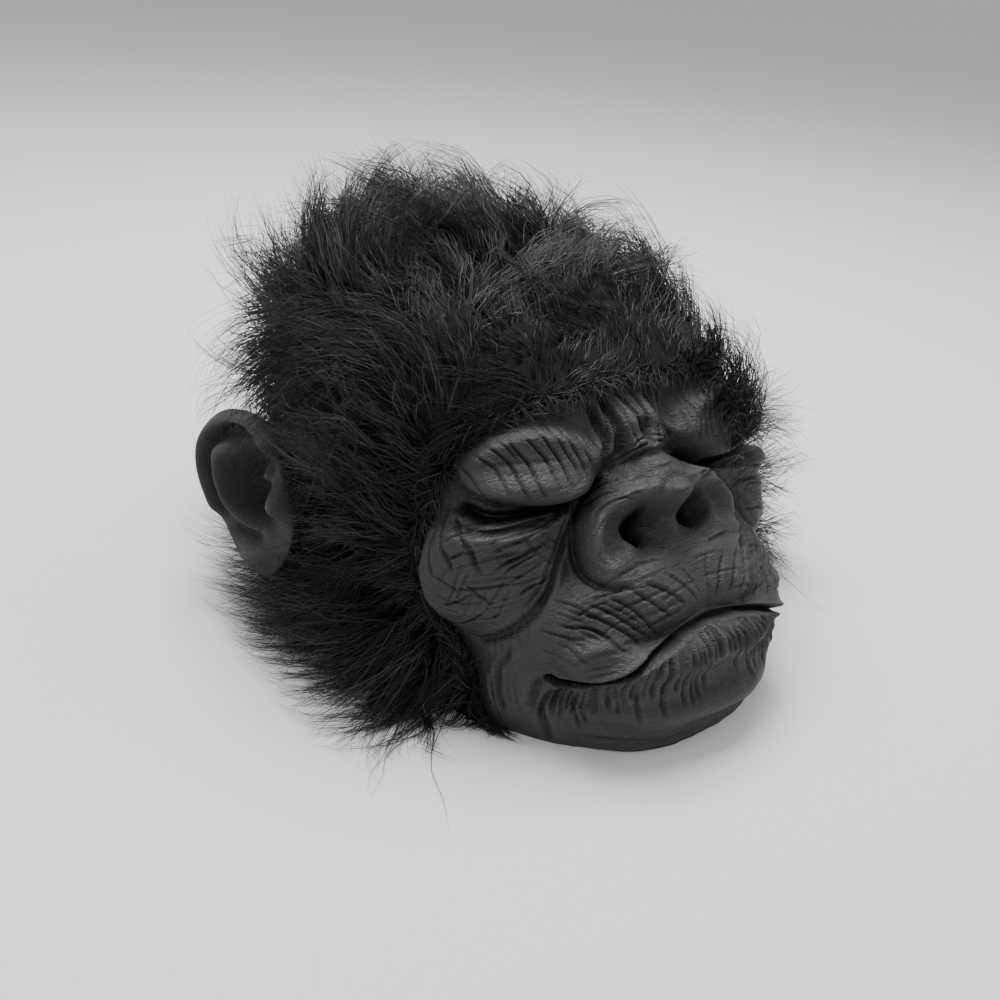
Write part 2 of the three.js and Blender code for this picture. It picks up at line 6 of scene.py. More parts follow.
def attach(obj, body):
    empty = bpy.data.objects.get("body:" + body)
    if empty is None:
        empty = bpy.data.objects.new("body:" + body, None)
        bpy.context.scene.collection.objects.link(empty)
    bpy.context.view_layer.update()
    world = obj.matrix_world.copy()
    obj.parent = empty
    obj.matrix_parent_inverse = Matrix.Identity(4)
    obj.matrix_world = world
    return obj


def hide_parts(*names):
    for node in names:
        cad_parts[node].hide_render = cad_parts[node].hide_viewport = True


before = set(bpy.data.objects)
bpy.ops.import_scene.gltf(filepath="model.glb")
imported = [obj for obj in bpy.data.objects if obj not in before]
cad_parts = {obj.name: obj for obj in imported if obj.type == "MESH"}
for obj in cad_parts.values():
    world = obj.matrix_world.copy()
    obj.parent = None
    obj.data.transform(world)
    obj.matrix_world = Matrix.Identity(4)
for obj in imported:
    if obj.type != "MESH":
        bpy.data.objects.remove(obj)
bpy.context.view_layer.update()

# Plain head form, in millimetres before its lean. across runs round the axis from the face's
# middle, level runs up the face and on over the dome.
headForm = {
    "leanDegrees": 20, "neckCut": 45, "shiftY": -51.4,
    "faceHeight": 150, "skullHalfWidth": 95, "skullFront": 90, "skullBack": 112,
    "muzzleRise": 30, "domeHeight": 82, "domeTaper": 1.3, "crownShift": 60, "chartRadius": 100,
    "crownPower": 1.2, "backSquareness": 2.2,
    # level, front, muzzle, back, width, squareness, as shares of the sizes above
    "sections": [
        (-0.2, 0.98, 0.05, 0.55, 0.72, 2.3),
        (0.0, 1.02, 0.62, 0.66, 0.84, 2.4),
        (0.17, 1.03, 0.95, 0.76, 0.91, 2.5),
        (0.37, 1.02, 1.0, 0.86, 0.94, 2.5),
        (0.57, 1.0, 0.55, 0.93, 0.96, 2.6),
        (0.77, 1.0, 0.12, 0.98, 0.98, 2.7),
        (1.0, 1.0, 0.0, 1.0, 1.0, 2.5),
    ],
    # half width of the face opening at a level, up to the temple and over the forehead
    "openingSide": [(-45, 74), (0, 77), (30, 82), (48, 82), (57, 84), (67, 92), (80, 98), (92, 100),
                    (105, 97), (116, 92), (124, 86), (133, 81)],
    "openingOver": [(0, 151), (20, 150), (45, 149), (66, 144), (81, 133)],
}
cornerHalf, cornerLevel = headForm["openingOver"][-1]
crownLevel = headForm["faceHeight"] + headForm["domeHeight"] * math.pi / 2
chartRadius = headForm["chartRadius"]


def smooth(t):
    t = np.clip(t, 0, 1)
    return t * t * (3 - 2 * t)


def sectionValue(column, level):
    rows = np.array(headForm["sections"])
    x, y = rows[:, 0], rows[:, column]
    last = len(x) - 1
    at = np.clip(level / headForm["faceHeight"], x[0], x[last])
    i = np.clip(np.searchsorted(x, at, side="right") - 1, 0, last - 1)
    slope = np.array([
        (y[min(j + 1, last)] - y[max(j - 1, 0)]) / (x[min(j + 1, last)] - x[max(j - 1, 0)])
        if j < last else 0 for j in range(last + 1)])
    step = x[i + 1] - x[i]
    t = (at - x[i]) / step
    return (y[i] * (1 + 2 * t) * (1 - t) ** 2 + slope[i] * step * t * (1 - t) ** 2
            + y[i + 1] * t * t * (3 - 2 * t) + slope[i + 1] * step * t * t * (t - 1))


def headPoint(across, level):
    f = headForm
    across, level = np.broadcast_arrays(np.asarray(across, float), np.asarray(level, float))
    angle = across / chartRadius
    dome = np.clip((level - f["faceHeight"]) / f["domeHeight"], 0, math.pi / 2)
    height = np.where(level < f["faceHeight"], level, f["faceHeight"] + f["domeHeight"] * np.sin(dome))
    front = f["skullFront"] * sectionValue(1, level) + f["muzzleRise"] * sectionValue(2, level)
    ahead = np.cos(angle) > 0
    depth = np.where(ahead, front, f["skullBack"] * sectionValue(3, level))
    width = f["skullHalfWidth"] * sectionValue(4, level)
    power = np.where(ahead, sectionValue(5, level), f["backSquareness"])
    reach = (np.abs(np.cos(angle) / depth) ** power
             + np.abs(np.sin(angle) / width) ** power) ** (-1 / power)
    reach = reach * np.cos(dome) ** f["domeTaper"]
    back = f["crownShift"] * np.sin(dome) ** f["crownPower"]
    return np.stack([reach * np.sin(angle), -reach * np.cos(angle) + back, height], -1)


def leaned(points):  # millimetres before the lean, to the row frame in metres
    lean = math.radians(headForm["leanDegrees"])
    c, s = math.cos(lean), math.sin(lean)
    x, y, h = points[..., 0], points[..., 1], points[..., 2]
    return np.stack([x, y * c + h * s + headForm["shiftY"], h * c - y * s - headForm["neckCut"]], -1) / 1000


def leanedDirection(v):
    lean = math.radians(headForm["leanDegrees"])
    c, s = math.cos(lean), math.sin(lean)
    return np.stack([v[..., 0], v[..., 1] * c + v[..., 2] * s, v[..., 2] * c - v[..., 1] * s], -1)


def unit(v):
    return v / np.maximum(np.linalg.norm(v, axis=-1, keepdims=True), 1e-12)


def headAxes(across, level):  # unit vectors round the head, up it and out of it
    step = 0.5
    safe = np.clip(level, -29, crownLevel - 2)  # clear of the form's two ends
    around = unit(headPoint(across + step, safe) - headPoint(across - step, safe))
    up = unit(headPoint(across, safe + step) - headPoint(across, safe - step))
    out = unit(np.cross(around, up))
    return around, unit(np.cross(out, around)), out


def openingHalf(level):
    side = np.array(headForm["openingSide"])
    over = np.array(headForm["openingOver"])[::-1]
    below = np.interp(level, side[:, 0], side[:, 1])
    above = np.interp(level, over[:, 1], over[:, 0])
    return np.where(level <= side[-1, 0], below, above)


def openingLevel(across):
    over = np.array(headForm["openingOver"])
    return np.interp(np.abs(across), over[:, 0], over[:, 1])


def floorLevel(across):  # level at which the form meets the surface it stands on
    lean = math.radians(headForm["leanDegrees"])
    level = np.full(np.shape(across), 20.0)
    for _ in range(12):
        y = headPoint(across, level)[..., 1]
        level = 0.5 * level + 0.5 * (headForm["neckCut"] + y * math.sin(lean)) / math.cos(lean)
    return level



def addObject(name, data):
    made = bpy.data.objects.new(name, data)
    bpy.context.scene.collection.objects.link(made)
    return made


def meshOf(bm, name):
    mesh = bpy.data.meshes.new(name)
    bm.to_mesh(mesh)
    bm.free()
    mesh.shade_smooth()
    return mesh


def newPiece(name, mesh, material, *nodes, slotName=None):
    obj = addObject(name, mesh)
    mesh.materials.clear()
    mesh.materials.append(material)
    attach(obj, "root")
    if nodes:
        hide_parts(*nodes)
    return obj


# Materials: a socket wrapped so that shader maths reads as Python
class Value:
    def __init__(self, shader, socket):
        self.shader, self.socket = shader, socket

    def math(self, operation, other=None):
        inputs = {0: self} if other is None else {0: self, 1: other}
        return self.shader.node("ShaderNodeMath", {"operation": operation}, inputs)

    def __add__(self, other): return self.math("ADD", other)
    def __sub__(self, other): return self.math("SUBTRACT", other)
    def __mul__(self, other): return self.math("MULTIPLY", other)


class Shader:
    def __init__(self, name):
        self.material = bpy.data.materials.new(name)
        self.material.use_nodes = True
        self.tree = self.material.node_tree
        self.surface = self.tree.nodes["Principled BSDF"]

    def node(self, kind, settings=None, inputs=None, output=0):
        made = self.tree.nodes.new(kind)
        for key, value in (settings or {}).items():
            if key == "stops":
                ramp = made.color_ramp
                while len(ramp.elements) < len(value):
                    ramp.elements.new(0.5)
                for element, (place, colour) in zip(ramp.elements, value):
                    element.position = place
                    element.color = (*colour, 1)
            else:
                setattr(made, key, value)
        self.feed(made, inputs or {})
        return Value(self, made.outputs[output])

    def feed(self, made, inputs):
        for key, value in inputs.items():
            if isinstance(value, Value):
                self.tree.links.new(value.socket, made.inputs[key])
            else:
                made.inputs[key].default_value = value

    def set(self, **inputs):
        names = {key.replace("_", " "): value for key, value in inputs.items()}
        self.feed(self.surface, names)

    def coordinates(self):
        return self.node("ShaderNodeTexCoord", output=3)

    def noise(self, scale, detail=3.0, roughness=0.55, where=None):
        return self.node("ShaderNodeTexNoise", {"noise_dimensions": "3D"},
                         {"Vector": where or self.coordinates(), "Scale": scale,
                          "Detail": detail, "Roughness": roughness})

    def ramp(self, value, stops):
        return self.node("ShaderNodeValToRGB", {"stops": stops}, {"Fac": value})

    def spread(self, value, low, high, toLow=0.0, toHigh=1.0):
        return self.node("ShaderNodeMapRange", {"clamp": True},
                         {"Value": value, "From Min": low, "From Max": high,
                          "To Min": toLow, "To Max": toHigh})

    def bump(self, height, distance, strength):
        return self.node("ShaderNodeBump", {}, {"Height": height, "Distance": distance, "Strength": strength})

    def attribute(self, name, output=2):
        return self.node("ShaderNodeAttribute", {"attribute_name": name}, output=output)


latexLook = {
    # colours: painted shade for the creases, the latex's own colour, a painted highlight for the ridges
    "hollow": (0.005, 0.005, 0.0055), "skin": (0.019, 0.019, 0.0202), "ridgeHighlight": (0.038, 0.0375, 0.037),
    "roughLow": 0.48, "roughHigh": 0.68, "specular": 0.4,
    "cloud": 26, "grain": 950, "pores": 2600, "cells": 330, "depth": 0.00036, "relief": 0.8,
    "mottle": 0.35, "speck": 0.22,
    # turn, length along and across in mm, weight
    "wrinkles": [(28, 8, 2.6, 0.5), (-52, 7, 2.8, 0.45), (75, 5, 2.2, 0.3)],
}


def latexMaterial(name):
    look = latexLook
    m = Shader(name)
    lift = m.attribute("lift")  # -1 in creases to +1 on ridges, for painted shade in the creases and a painted highlight on the ridges
    cloud = m.noise(look["cloud"], 4.0, 0.6)
    fine = m.noise(look["grain"], 3.0, 0.6)
    # painted shade in the creases and a painted highlight on the ridges, with random mottle and specks of the
    # latex's own
    tone = m.spread(lift, -1, 1) + (cloud - 0.5) * look["mottle"] + (fine - 0.5) * look["speck"]
    colour = m.ramp(tone, [(0.1, look["hollow"]), (0.42, look["skin"]), (1.0, look["ridgeHighlight"])])
    rough = m.spread(cloud + fine * 0.6, 0.5, 1.1, look["roughLow"], look["roughHigh"])
    cells = m.node("ShaderNodeTexVoronoi", {"feature": "DISTANCE_TO_EDGE"},
                   {"Vector": m.coordinates(), "Scale": look["cells"], "Randomness": 1.0})
    net = m.spread(cells, 0.0, 0.16)
    pores = m.noise(look["pores"], 2.0, 0.5)
    height = net * 0.3 + fine * 0.7 + pores * 0.25
    # fine lines where a drawn-out noise crosses its middle
    for turn, along, between, weight in look["wrinkles"]:
        where = m.node("ShaderNodeMapping", {}, {"Vector": m.attribute("chart", 1),
                                                 "Rotation": (0, 0, math.radians(turn)),
                                                 "Scale": (1 / along, 1 / between, 1)})
        line = (m.noise(1.0, 1.5, 0.5, where) - 0.5).math("ABSOLUTE")
        height = height + m.spread(line, 0.0, 0.045) * weight
    m.set(Base_Color=colour, Roughness=rough, Normal=m.bump(height, look["depth"], look["relief"]),
          Specular_IOR_Level=look["specular"])
    return m.material


furLook = {
    # strand tones, darkest to grey; the grey is painted sheen on the lighter locks
    "dark": (0.002, 0.002, 0.0022), "middle": (0.008, 0.008, 0.0086), "greySheen": (0.068, 0.068, 0.070),
    "patch": 18, "ownShade": 0.75, "patchShade": 0.6, "roughness": 0.42, "specular": 0.38,
}


def furMaterial(name):
    look = furLook
    m = Shader(name)
    each = m.attribute("strand")  # a tone of its own for each strand, the lightest being painted sheen
    patch = m.noise(look["patch"], 3.0, 0.6)
    # tone differs at random by strand and patch; its grey end is painted sheen
    tone = each * look["ownShade"] + (patch - 0.5) * look["patchShade"]
    colour = m.ramp(tone, [(0.05, look["dark"]), (0.45, look["middle"]), (0.85, look["greySheen"])])
    m.set(Base_Color=colour, Roughness=look["roughness"], Specular_IOR_Level=look["specular"])
    return m.material


backingLook = {
    "dark": (0.004, 0.004, 0.004), "light": (0.014, 0.014, 0.015), "weave": 1400, "depth": 0.0006,
    "relief": 0.8, "roughness": 0.9, "specular": 0.15,
}


def backingMaterial(name):
    look = backingLook
    m = Shader(name)
    weave = m.noise(look["weave"], 3.0, 0.6)
    m.set(Base_Color=m.ramp(weave, [(0.3, look["dark"]), (0.8, look["light"])]),
          Roughness=look["roughness"], Normal=m.bump(weave, look["depth"], look["relief"]),
          Specular_IOR_Level=look["specular"])
    return m.material


# Sculpting strokes on a chart of the form
def curveThrough(points, perSpan=8):  # smooth path through a few given points
    p = np.array(points, float)
    p = np.vstack([2 * p[0] - p[1], p, 2 * p[-1] - p[-2]])
    made = []
    for i in range(1, len(p) - 2):
        for t in np.linspace(0, 1, perSpan, endpoint=False):
            a, b, c, d = p[i - 1], p[i], p[i + 1], p[i + 2]
            made.append(0.5 * ((2 * b) + (c - a) * t + (2 * a - 5 * b + 4 * c - d) * t * t
                               + (3 * b - a - 3 * c + d) * t ** 3))
    made.append(p[-2])
    return np.array(made)


def besideCurve(path, u, v):  # distance to a path, and place along it 0..1
    best = np.full(u.shape, 1e9)
    along = np.zeros(u.shape)
    runs = np.linalg.norm(np.diff(path, axis=0), axis=1)
    total = max(runs.sum(), 1e-6)
    start = 0.0
    for (a, b), run in zip(zip(path[:-1], path[1:]), runs):
        d = b - a
        t = np.clip(((u - a[0]) * d[0] + (v - a[1]) * d[1]) / max(run * run, 1e-9), 0, 1)
        away = np.hypot(u - a[0] - t * d[0], v - a[1] - t * d[1])
        near = away < best
        best = np.where(near, away, best)
        along = np.where(near, (start + t * run) / total, along)
        start += run
    return best, along


strokeForm = {"reach": 4.5, "lipAt": 1.9, "shadeHighlightMost": 1.2}  # in half widths, and the limit on the painted shade of a crease and the painted highlight of a ridge


class Sculpt:
    def __init__(self, u, v):
        self.u, self.v = u, v
        self.rise = np.zeros(u.shape)  # along the form's normal, mm
        self.slide = np.zeros(u.shape)  # down the form, mm
        self.fine = np.zeros(u.shape)  # creases alone, for colour: painted shade in creases, a painted highlight on ridges

    def pad(self, u, v, halfU, halfV, turn, flat, rise, slide):
        c, s = math.cos(math.radians(turn)), math.sin(math.radians(turn))
        du, dv = np.abs(self.u) - u, self.v - v
        away = np.hypot((du * c + dv * s) / halfU, (dv * c - du * s) / halfV)
        fall = 1 - smooth((away - flat) / (1 - flat))
        self.rise += rise * fall
        self.slide += slide * fall

    def stroke(self, points, width, rise, lip, ends, side=0):
        path = points if isinstance(points, np.ndarray) else curveThrough(points)
        across = np.abs(self.u) if side == 0 else self.u * side
        reach = width * strokeForm["reach"]
        low, high = path.min(0) - reach, path.max(0) + reach
        near = (across > low[0]) & (across < high[0]) & (self.v > low[1]) & (self.v < high[1])
        if not near.any():
            return
        away, along = besideCurve(path, across[near], self.v[near])
        taper = smooth(along / ends) * smooth((1 - along) / ends) if ends else 1.0
        x = away / width
        shape = np.exp(-x * x) - lip * np.exp(-(x - strokeForm["lipAt"]) ** 2)
        # painted shade in a crease, a painted highlight on a ridge
        shadeHighlightMost = strokeForm["shadeHighlightMost"]
        self.rise[near] += rise * shape * taper
        self.fine[near] += np.clip(rise, -shadeHighlightMost, shadeHighlightMost) * shape * taper

    def family(self, first, last, count, width, rise, seed, lip=0.35, side=1, wander=0.8,
               jitter=0.25, trim=0.18):
        rng = np.random.default_rng(seed)
        a, b = curveThrough(first, 6), curveThrough(last, 6)
        n = 22
        pick = lambda path: np.stack([np.interp(np.linspace(0, 1, n), np.linspace(0, 1, len(path)),
                                                path[:, k]) for k in (0, 1)], -1)
        a, b = pick(a), pick(b)
        for i in range(count):
            t = (i + 0.5 + jitter * rng.uniform(-1, 1)) / count
            path = a * (1 - t) + b * t
            bend = np.sin(np.linspace(0, 1, n) * math.pi * rng.uniform(0.8, 2.4) + rng.uniform(0, 6))
            path = path + np.stack([bend * wander * rng.uniform(0.3, 1), bend[::-1] * wander * 0.5], -1)
            start, stop = int(n * trim * rng.random()), n - int(n * trim * rng.random())
            size = rng.uniform(0.65, 1.25)
            self.stroke(path[start:stop], width * rng.uniform(0.8, 1.25), rise * size, lip, 0.28, side)


# Latex face
faceForm = {
    "columns": 285, "rows": 303, "inner": 3,  # the lining grid is this many times coarser
    "wall": 2.6, "lap": 10, "lapSink": 1.4, "edgeFlat": -1.5, "edgeBlend": 7,
    # across, level, half across, half level, turn, flat share, rise, slide
    "pads": [
        (50, 129.5, 38, 18.5, 11, 0.5, 12.5, 1.5),  # brow pad
        (53, 121, 33, 9, 11, 0.35, 4.0, 5.0),
        (0, 131, 24, 19, 0, 0.3, 11, 0),  # between the brows
        (60, 103, 33, 8, 2, 0.35, 4.5, -1.0),  # lower lid
        (76, 90, 35, 29, -10, 0.45, 11, 1.0),  # cheek
        (66, 96, 26, 16, -8, 0.2, 2.4, 0),
        (0, 107, 33, 15.5, 0, 0.5, 14.5, 0),  # nose
        (0, 121, 20, 12, 0, 0.2, 4, 0),
        (0, 105.5, 17, 12, 0, 0.35, 6.5, 0),  # nose tip
        (0, 95, 10, 12, 0, 0.35, 6, 0),  # between the nostrils
        (26, 93.5, 13.5, 17.5, 0, 0.4, 9, 0),  # nose wing
        (16.5, 93, 8, 7.5, 25, 0.3, -8, 0),  # nostril
        (30, 67, 44, 20, -10, 0.4, 6.0, 0),  # upper lip
        (0, 74, 38, 23, 0, 0.4, 6.5, 0),
        (0, 62, 46, 9, 0, 0.3, 1.0, 0.8),
        (39, 51, 17, 10, 5, 0.4, 5.0, 1.0),  # pad over the mouth's corner
        (0, 36, 56, 22, 0, 0.45, 9.0, -1.0),  # lower lip
        (0, 47, 56, 11, 0, 0.4, 5.5, -1.0),
        (0, 14, 52, 22, 0, 0.4, 6.5, 0),  # chin
        (70, 42, 14, 24, 8, 0.3, 3.0, 0),  # jaw flap
    ],
    # path across and level, half width, rise, lip
    "folds": [
        # eye slit, then the mouth, nearly closed at its middle
        ([(19, 118), (29, 114.5), (42, 110.5), (58, 108.5), (70, 110), (82, 116)], 2.0, -9.0, 0.0),
        ([(0, 56), (10, 54.5), (22, 50), (33, 45.5), (43, 43), (51, 43), (55, 45.5)], 1.15, -6.5, 0.2),
        ([(0, 56), (6, 55.3), (13, 53.2)], 1.1, 3.2, 0.0),
        # round the cheek and the nose wing
        ([(32, 113), (37, 105), (42, 97), (47, 89), (51, 80), (56, 73)], 1.3, -2.2, 0.4),
        ([(52, 78), (59, 70), (69, 63.5), (80, 60)], 1.7, -1.2, 0.4),
        ([(35, 112), (40, 105), (45, 97), (50, 89), (54, 81), (61, 73)], 0.8, -1.4, 0.4),
        ([(26, 115), (31, 110), (37.5, 101), (39.5, 91), (37.5, 81), (32, 75), (23.5, 73)], 1.3, -1.9, 0.3),
        ([(55, 48), (59, 43), (61, 35), (59, 27), (57, 14)], 1.5, -1.0, 0.4),  # from mouth to jaw
        ([(66, 58), (71, 50), (73, 40), (71, 30)], 1.2, -0.9, 0.4),
        ([(13, 122), (12, 132), (12, 141), (12, 151)], 2.0, -3.6, 0.4),  # frown
        ([(0, 126), (2, 134), (3, 144), (4, 152)], 1.4, -2.4, 0.4),
        ([(20, 124), (17, 132), (19, 142), (22, 150)], 1.6, -2.6, 0.3),
        ([(6, 105), (13, 105), (20.5, 106), (28, 102.5), (33, 96), (34.5, 88.5), (31.5, 82), (26, 77.5)],
         3.4, 4.2, 0.3),  # rim of the nostril
        ([(11.5, 99), (14.5, 96.5), (14.5, 92), (12, 88.5)], 1.8, -9.5, 0.0),  # nostril slot
        ([(35, 110), (50, 104), (68, 104), (86, 111)], 1.5, -2.0, 0.5),  # under the lid
        ([(90, 114), (99, 104), (101, 90), (97, 76)], 1.8, -2.0, 0.4),
        ([(13, 130), (30, 127.5), (50, 126), (70, 126), (84, 127)], 3.0, 0.7, 0.3),  # brow's ridge
        ([(0, 30), (25, 30), (44, 33), (56, 39)], 3.0, -0.5, 0.3),  # under the lower lip
    ],
    "creaseWidth": 0.68, "creaseLip": 0.25,
    # path across and level, half width, rise
    "creases": [
        # brow pad, outer to inner
        ([(80, 133), (73, 128), (68, 121)], 0.75, -1.3), ([(74, 138), (66, 131), (61, 122)], 0.7, -1.3),
        ([(70, 141), (64, 136), (59, 128), (55, 119)], 0.75, -1.5),
        ([(66, 143), (61, 138), (57, 131)], 0.6, -1.0),
        ([(62, 144), (59, 138), (54, 129), (50, 118)], 0.75, -1.6),
        ([(57, 145), (53, 139), (48, 130), (45, 119)], 0.75, -1.5),
        ([(51, 146), (48, 140), (44, 131), (40, 118)], 0.75, -1.6),
        ([(46, 146), (43, 140), (40, 131), (36, 120)], 0.65, -1.3),
        ([(40, 145), (38, 136), (35, 126), (33, 119)], 0.7, -1.4),
        ([(35, 143), (33, 137), (32, 129), (29, 121)], 0.75, -1.5),
        ([(32, 141), (30, 135), (29, 128)], 0.6, -1.0), ([(29, 138), (27, 131), (26, 125)], 0.7, -1.3),
        ([(24, 134), (22, 128), (22, 123)], 0.6, -1.1),
        ([(60, 141), (52, 139), (44, 140)], 0.5, -0.4),
        # between the brows
        ([(8, 152), (8, 144), (8, 137), (7, 128), (5, 122)], 0.9, -1.8),
        ([(15, 150), (15, 140), (16, 131)], 0.8, -1.2), ([(1, 149), (0, 139), (1, 130)], 0.7, -1.2),
        ([(0, 126), (7, 125), (14, 121)], 0.8, -1.6), ([(0, 123), (8, 121), (15, 118)], 0.7, -1.2),
        ([(0, 129), (6, 128), (11, 125)], 0.6, -1.0),
        # cheek
        ([(84, 117), (86, 110), (85, 103), (82, 96), (80, 90)], 0.95, -1.9),
        ([(82, 117), (80, 108), (75, 101), (73, 94), (70, 88)], 0.95, -1.9),
        ([(89, 108), (90, 98), (88, 88)], 0.8, -1.1), ([(78, 89), (74, 83), (68, 77)], 0.7, -1.0),
        ([(80, 109), (68, 108), (59, 107), (49, 107), (42, 109)], 0.8, -1.5),
        ([(77, 106), (66, 104), (53, 105), (43, 106)], 0.75, -1.4),
        ([(71, 101), (62, 101), (52, 102), (41, 106)], 0.8, -1.5),
        ([(71, 95), (65, 98), (59, 99), (51, 101), (42, 104)], 0.75, -1.5),
        ([(70, 90), (63, 93), (57, 95), (52, 96), (47, 98)], 0.8, -1.6),
        ([(66, 88), (60, 92), (52, 94)], 0.7, -1.2), ([(66, 84), (58, 88), (50, 91)], 0.6, -0.9),
        ([(62, 79), (57, 82), (53, 83), (49, 86)], 0.8, -1.5), ([(85, 103), (78, 106), (72, 106)], 0.7, -1.2),
        ([(84, 96), (77, 99), (72, 98)], 0.65, -1.0), ([(82, 112), (74, 112), (66, 111)], 0.6, -0.9),
        ([(68, 106), (67, 100), (63, 95)], 0.55, -0.8), ([(60, 106), (58, 100), (55, 96)], 0.5, -0.6),
        ([(86, 68), (78, 71), (70, 76)], 0.7, -1.2), ([(88, 78), (80, 80), (73, 84)], 0.65, -0.9),
        ([(64, 75), (70, 72), (78, 72)], 0.6, -0.8), ([(90, 92), (84, 88), (78, 82)], 0.6, -0.8),
        # nose wing
        ([(33, 106), (26, 109), (19, 108)], 0.7, -1.2), ([(34, 100), (26, 105), (15, 102)], 0.75, -1.3),
        ([(30, 103), (22, 105), (12, 105)], 0.65, -1.0), ([(35, 95), (30, 103), (22, 106)], 0.65, -0.9),
        ([(32, 110), (24, 113), (16, 114)], 0.7, -1.1), ([(36, 92), (31, 98), (27, 100)], 0.65, -0.8),
        ([(33, 92), (33, 86), (29, 81)], 0.7, -0.9), ([(24, 80), (17, 80), (10, 79)], 0.75, -1.0),
        # upper lip, down to the mouth
        ([(49, 72), (37, 66), (29, 59), (24, 51)], 0.8, -1.6),
        ([(46, 66), (38, 62), (33, 56), (29, 52)], 0.75, -1.4),
        ([(42, 73), (33, 67), (26, 60), (21, 54)], 0.8, -1.6), ([(38, 73), (29, 66), (23, 59)], 0.6, -1.0),
        ([(36, 75), (27, 67), (20, 57), (17, 53)], 0.75, -1.5), ([(28, 75), (22, 68), (13, 59)], 0.75, -1.4),
        ([(23, 74), (15, 68), (8, 61)], 0.75, -1.3), ([(15, 75), (9, 69), (3, 61)], 0.7, -1.1),
        ([(8, 77), (4, 70), (1, 62)], 0.65, -0.9), ([(50, 66), (40, 63), (35, 58)], 0.7, -1.2),
        ([(52, 76), (44, 72), (38, 67)], 0.6, -0.8), ([(57, 66), (48, 62), (40, 59)], 0.6, -0.9),
        # and across them
        ([(39, 59), (33, 63), (25, 64)], 0.55, -0.8), ([(26, 57), (20, 61), (8, 63)], 0.6, -0.9),
        ([(21, 52), (12, 57), (1, 60)], 0.6, -0.9), ([(39, 73), (28, 73), (20, 71)], 0.6, -0.9),
        ([(20, 66), (9, 68), (0, 69)], 0.55, -0.8), ([(46, 67), (39, 70), (31, 71)], 0.6, -0.9),
        ([(33, 66), (27, 68), (20, 68)], 0.5, -0.6), ([(16, 73), (8, 75), (0, 75)], 0.5, -0.6),
    ],
    # bundles: first and last path, count, half width, rise, wander, trim
    "families": [
        ([(0, 55), (1, 47), (1, 36)], [(54, 43), (59, 35), (61, 24)], 38, 0.6, -1.6, 0.2, 0.25),  # lower lip
        ([(0, 53), (1, 42), (2, 26)], [(54, 42), (60, 32), (58, 18)], 18, 0.65, -1.1, 0.6, 0.5),
        # low cheek, mouth corner and chin
        ([(82, 100), (88, 88), (88, 74)], [(58, 88), (64, 76), (72, 68)], 7, 0.45, -0.6, 0.8, 0.4),
        ([(96, 92), (84, 82), (66, 80)], [(92, 70), (84, 66), (74, 66)], 7, 0.45, -0.6, 0.8, 0.4),
        ([(50, 78), (36, 68), (24, 54)], [(58, 58), (50, 54), (44, 50)], 6, 0.45, -0.6, 0.6, 0.4),
        ([(60, 80), (58, 66), (60, 56)], [(80, 62), (78, 52), (80, 40)], 6, 0.45, -0.5, 0.8, 0.4),
        ([(0, 20), (20, 21), (50, 24)], [(0, 4), (20, 5), (54, 10)], 4, 0.9, -0.45, 1.2, 0.4),
        ([(63, 58), (64, 44), (62, 14)], [(80, 58), (81, 40), (80, 20)], 9, 0.7, -0.6, 1.0, 0.4),  # jaw
        ([(34, 113), (44, 112), (56, 112)], [(44, 84), (52, 90), (60, 100)], 7, 0.6, -0.6, 0.8, 0.3),
        ([(36, 110), (54, 108), (78, 112)], [(46, 84), (60, 84), (84, 84)], 9, 0.5, -0.5, 1.4, 0.4),
        ([(60, 110), (76, 108), (90, 106)], [(52, 78), (66, 74), (84, 76)], 9, 0.5, -0.45, 1.4, 0.4),
        ([(80, 128), (58, 122), (36, 120)], [(80, 134), (58, 133), (26, 128)], 3, 0.6, -0.25, 0.8, 0.3),
        ([(2, 82), (26, 80), (50, 72)], [(2, 58), (24, 54), (50, 60)], 6, 0.55, -0.45, 1.2, 0.4),
        ([(30, 56), (38, 57), (48, 55)], [(28, 46), (38, 45), (48, 45)], 3, 0.7, -0.5, 0.6, 0.3),
    ],
}


def faceRelief(u, v, creased):
    clay = Sculpt(u, v)
    for pad in faceForm["pads"]:
        clay.pad(*pad)
    for path, width, rise, lip in faceForm["folds"]:
        clay.stroke(path, width, rise, lip, 0 if path[0][0] == 0 and path[-1][0] > 0 else 0.12)
    if not creased:
        return clay
    for path, width, rise in faceForm["creases"]:
        clay.stroke(path, width * faceForm["creaseWidth"], rise, faceForm["creaseLip"], 0.3)
    for side in (-1, 1):
        seed = 10 + side
        for first, last, count, width, rise, wander, trim in faceForm["families"]:
            clay.family(first, last, count, width, rise, seed, side=side, wander=wander, trim=trim)
            seed += 2
    return clay


def chartNoise(points, scale, seed=0.0):
    flat = points.reshape(-1, 3)
    values = [noise.noise((p[0] * scale + seed, p[1] * scale, p[2] * scale)) for p in flat.tolist()]
    return np.array(values).reshape(points.shape[:-1])


def faceChart(columns, rows):  # across and level of each grid place, lowest row on the surface
    s = np.linspace(-1, 1, columns + 1)[None, :]
    t = np.linspace(0, 1, rows + 1)[:, None]
    t = t + 0.0 * s
    top = openingLevel(0) + faceForm["lap"]
    level = top * t
    for _ in range(6):
        half = openingHalf(np.minimum(level, cornerLevel)) + faceForm["lap"]
        half = half - (half - 56) * smooth((level - cornerLevel) / (top - cornerLevel + 4))
        across = half * s
        level = floorLevel(half[:1] * s) * (1 - t) + top * t
    return across, level


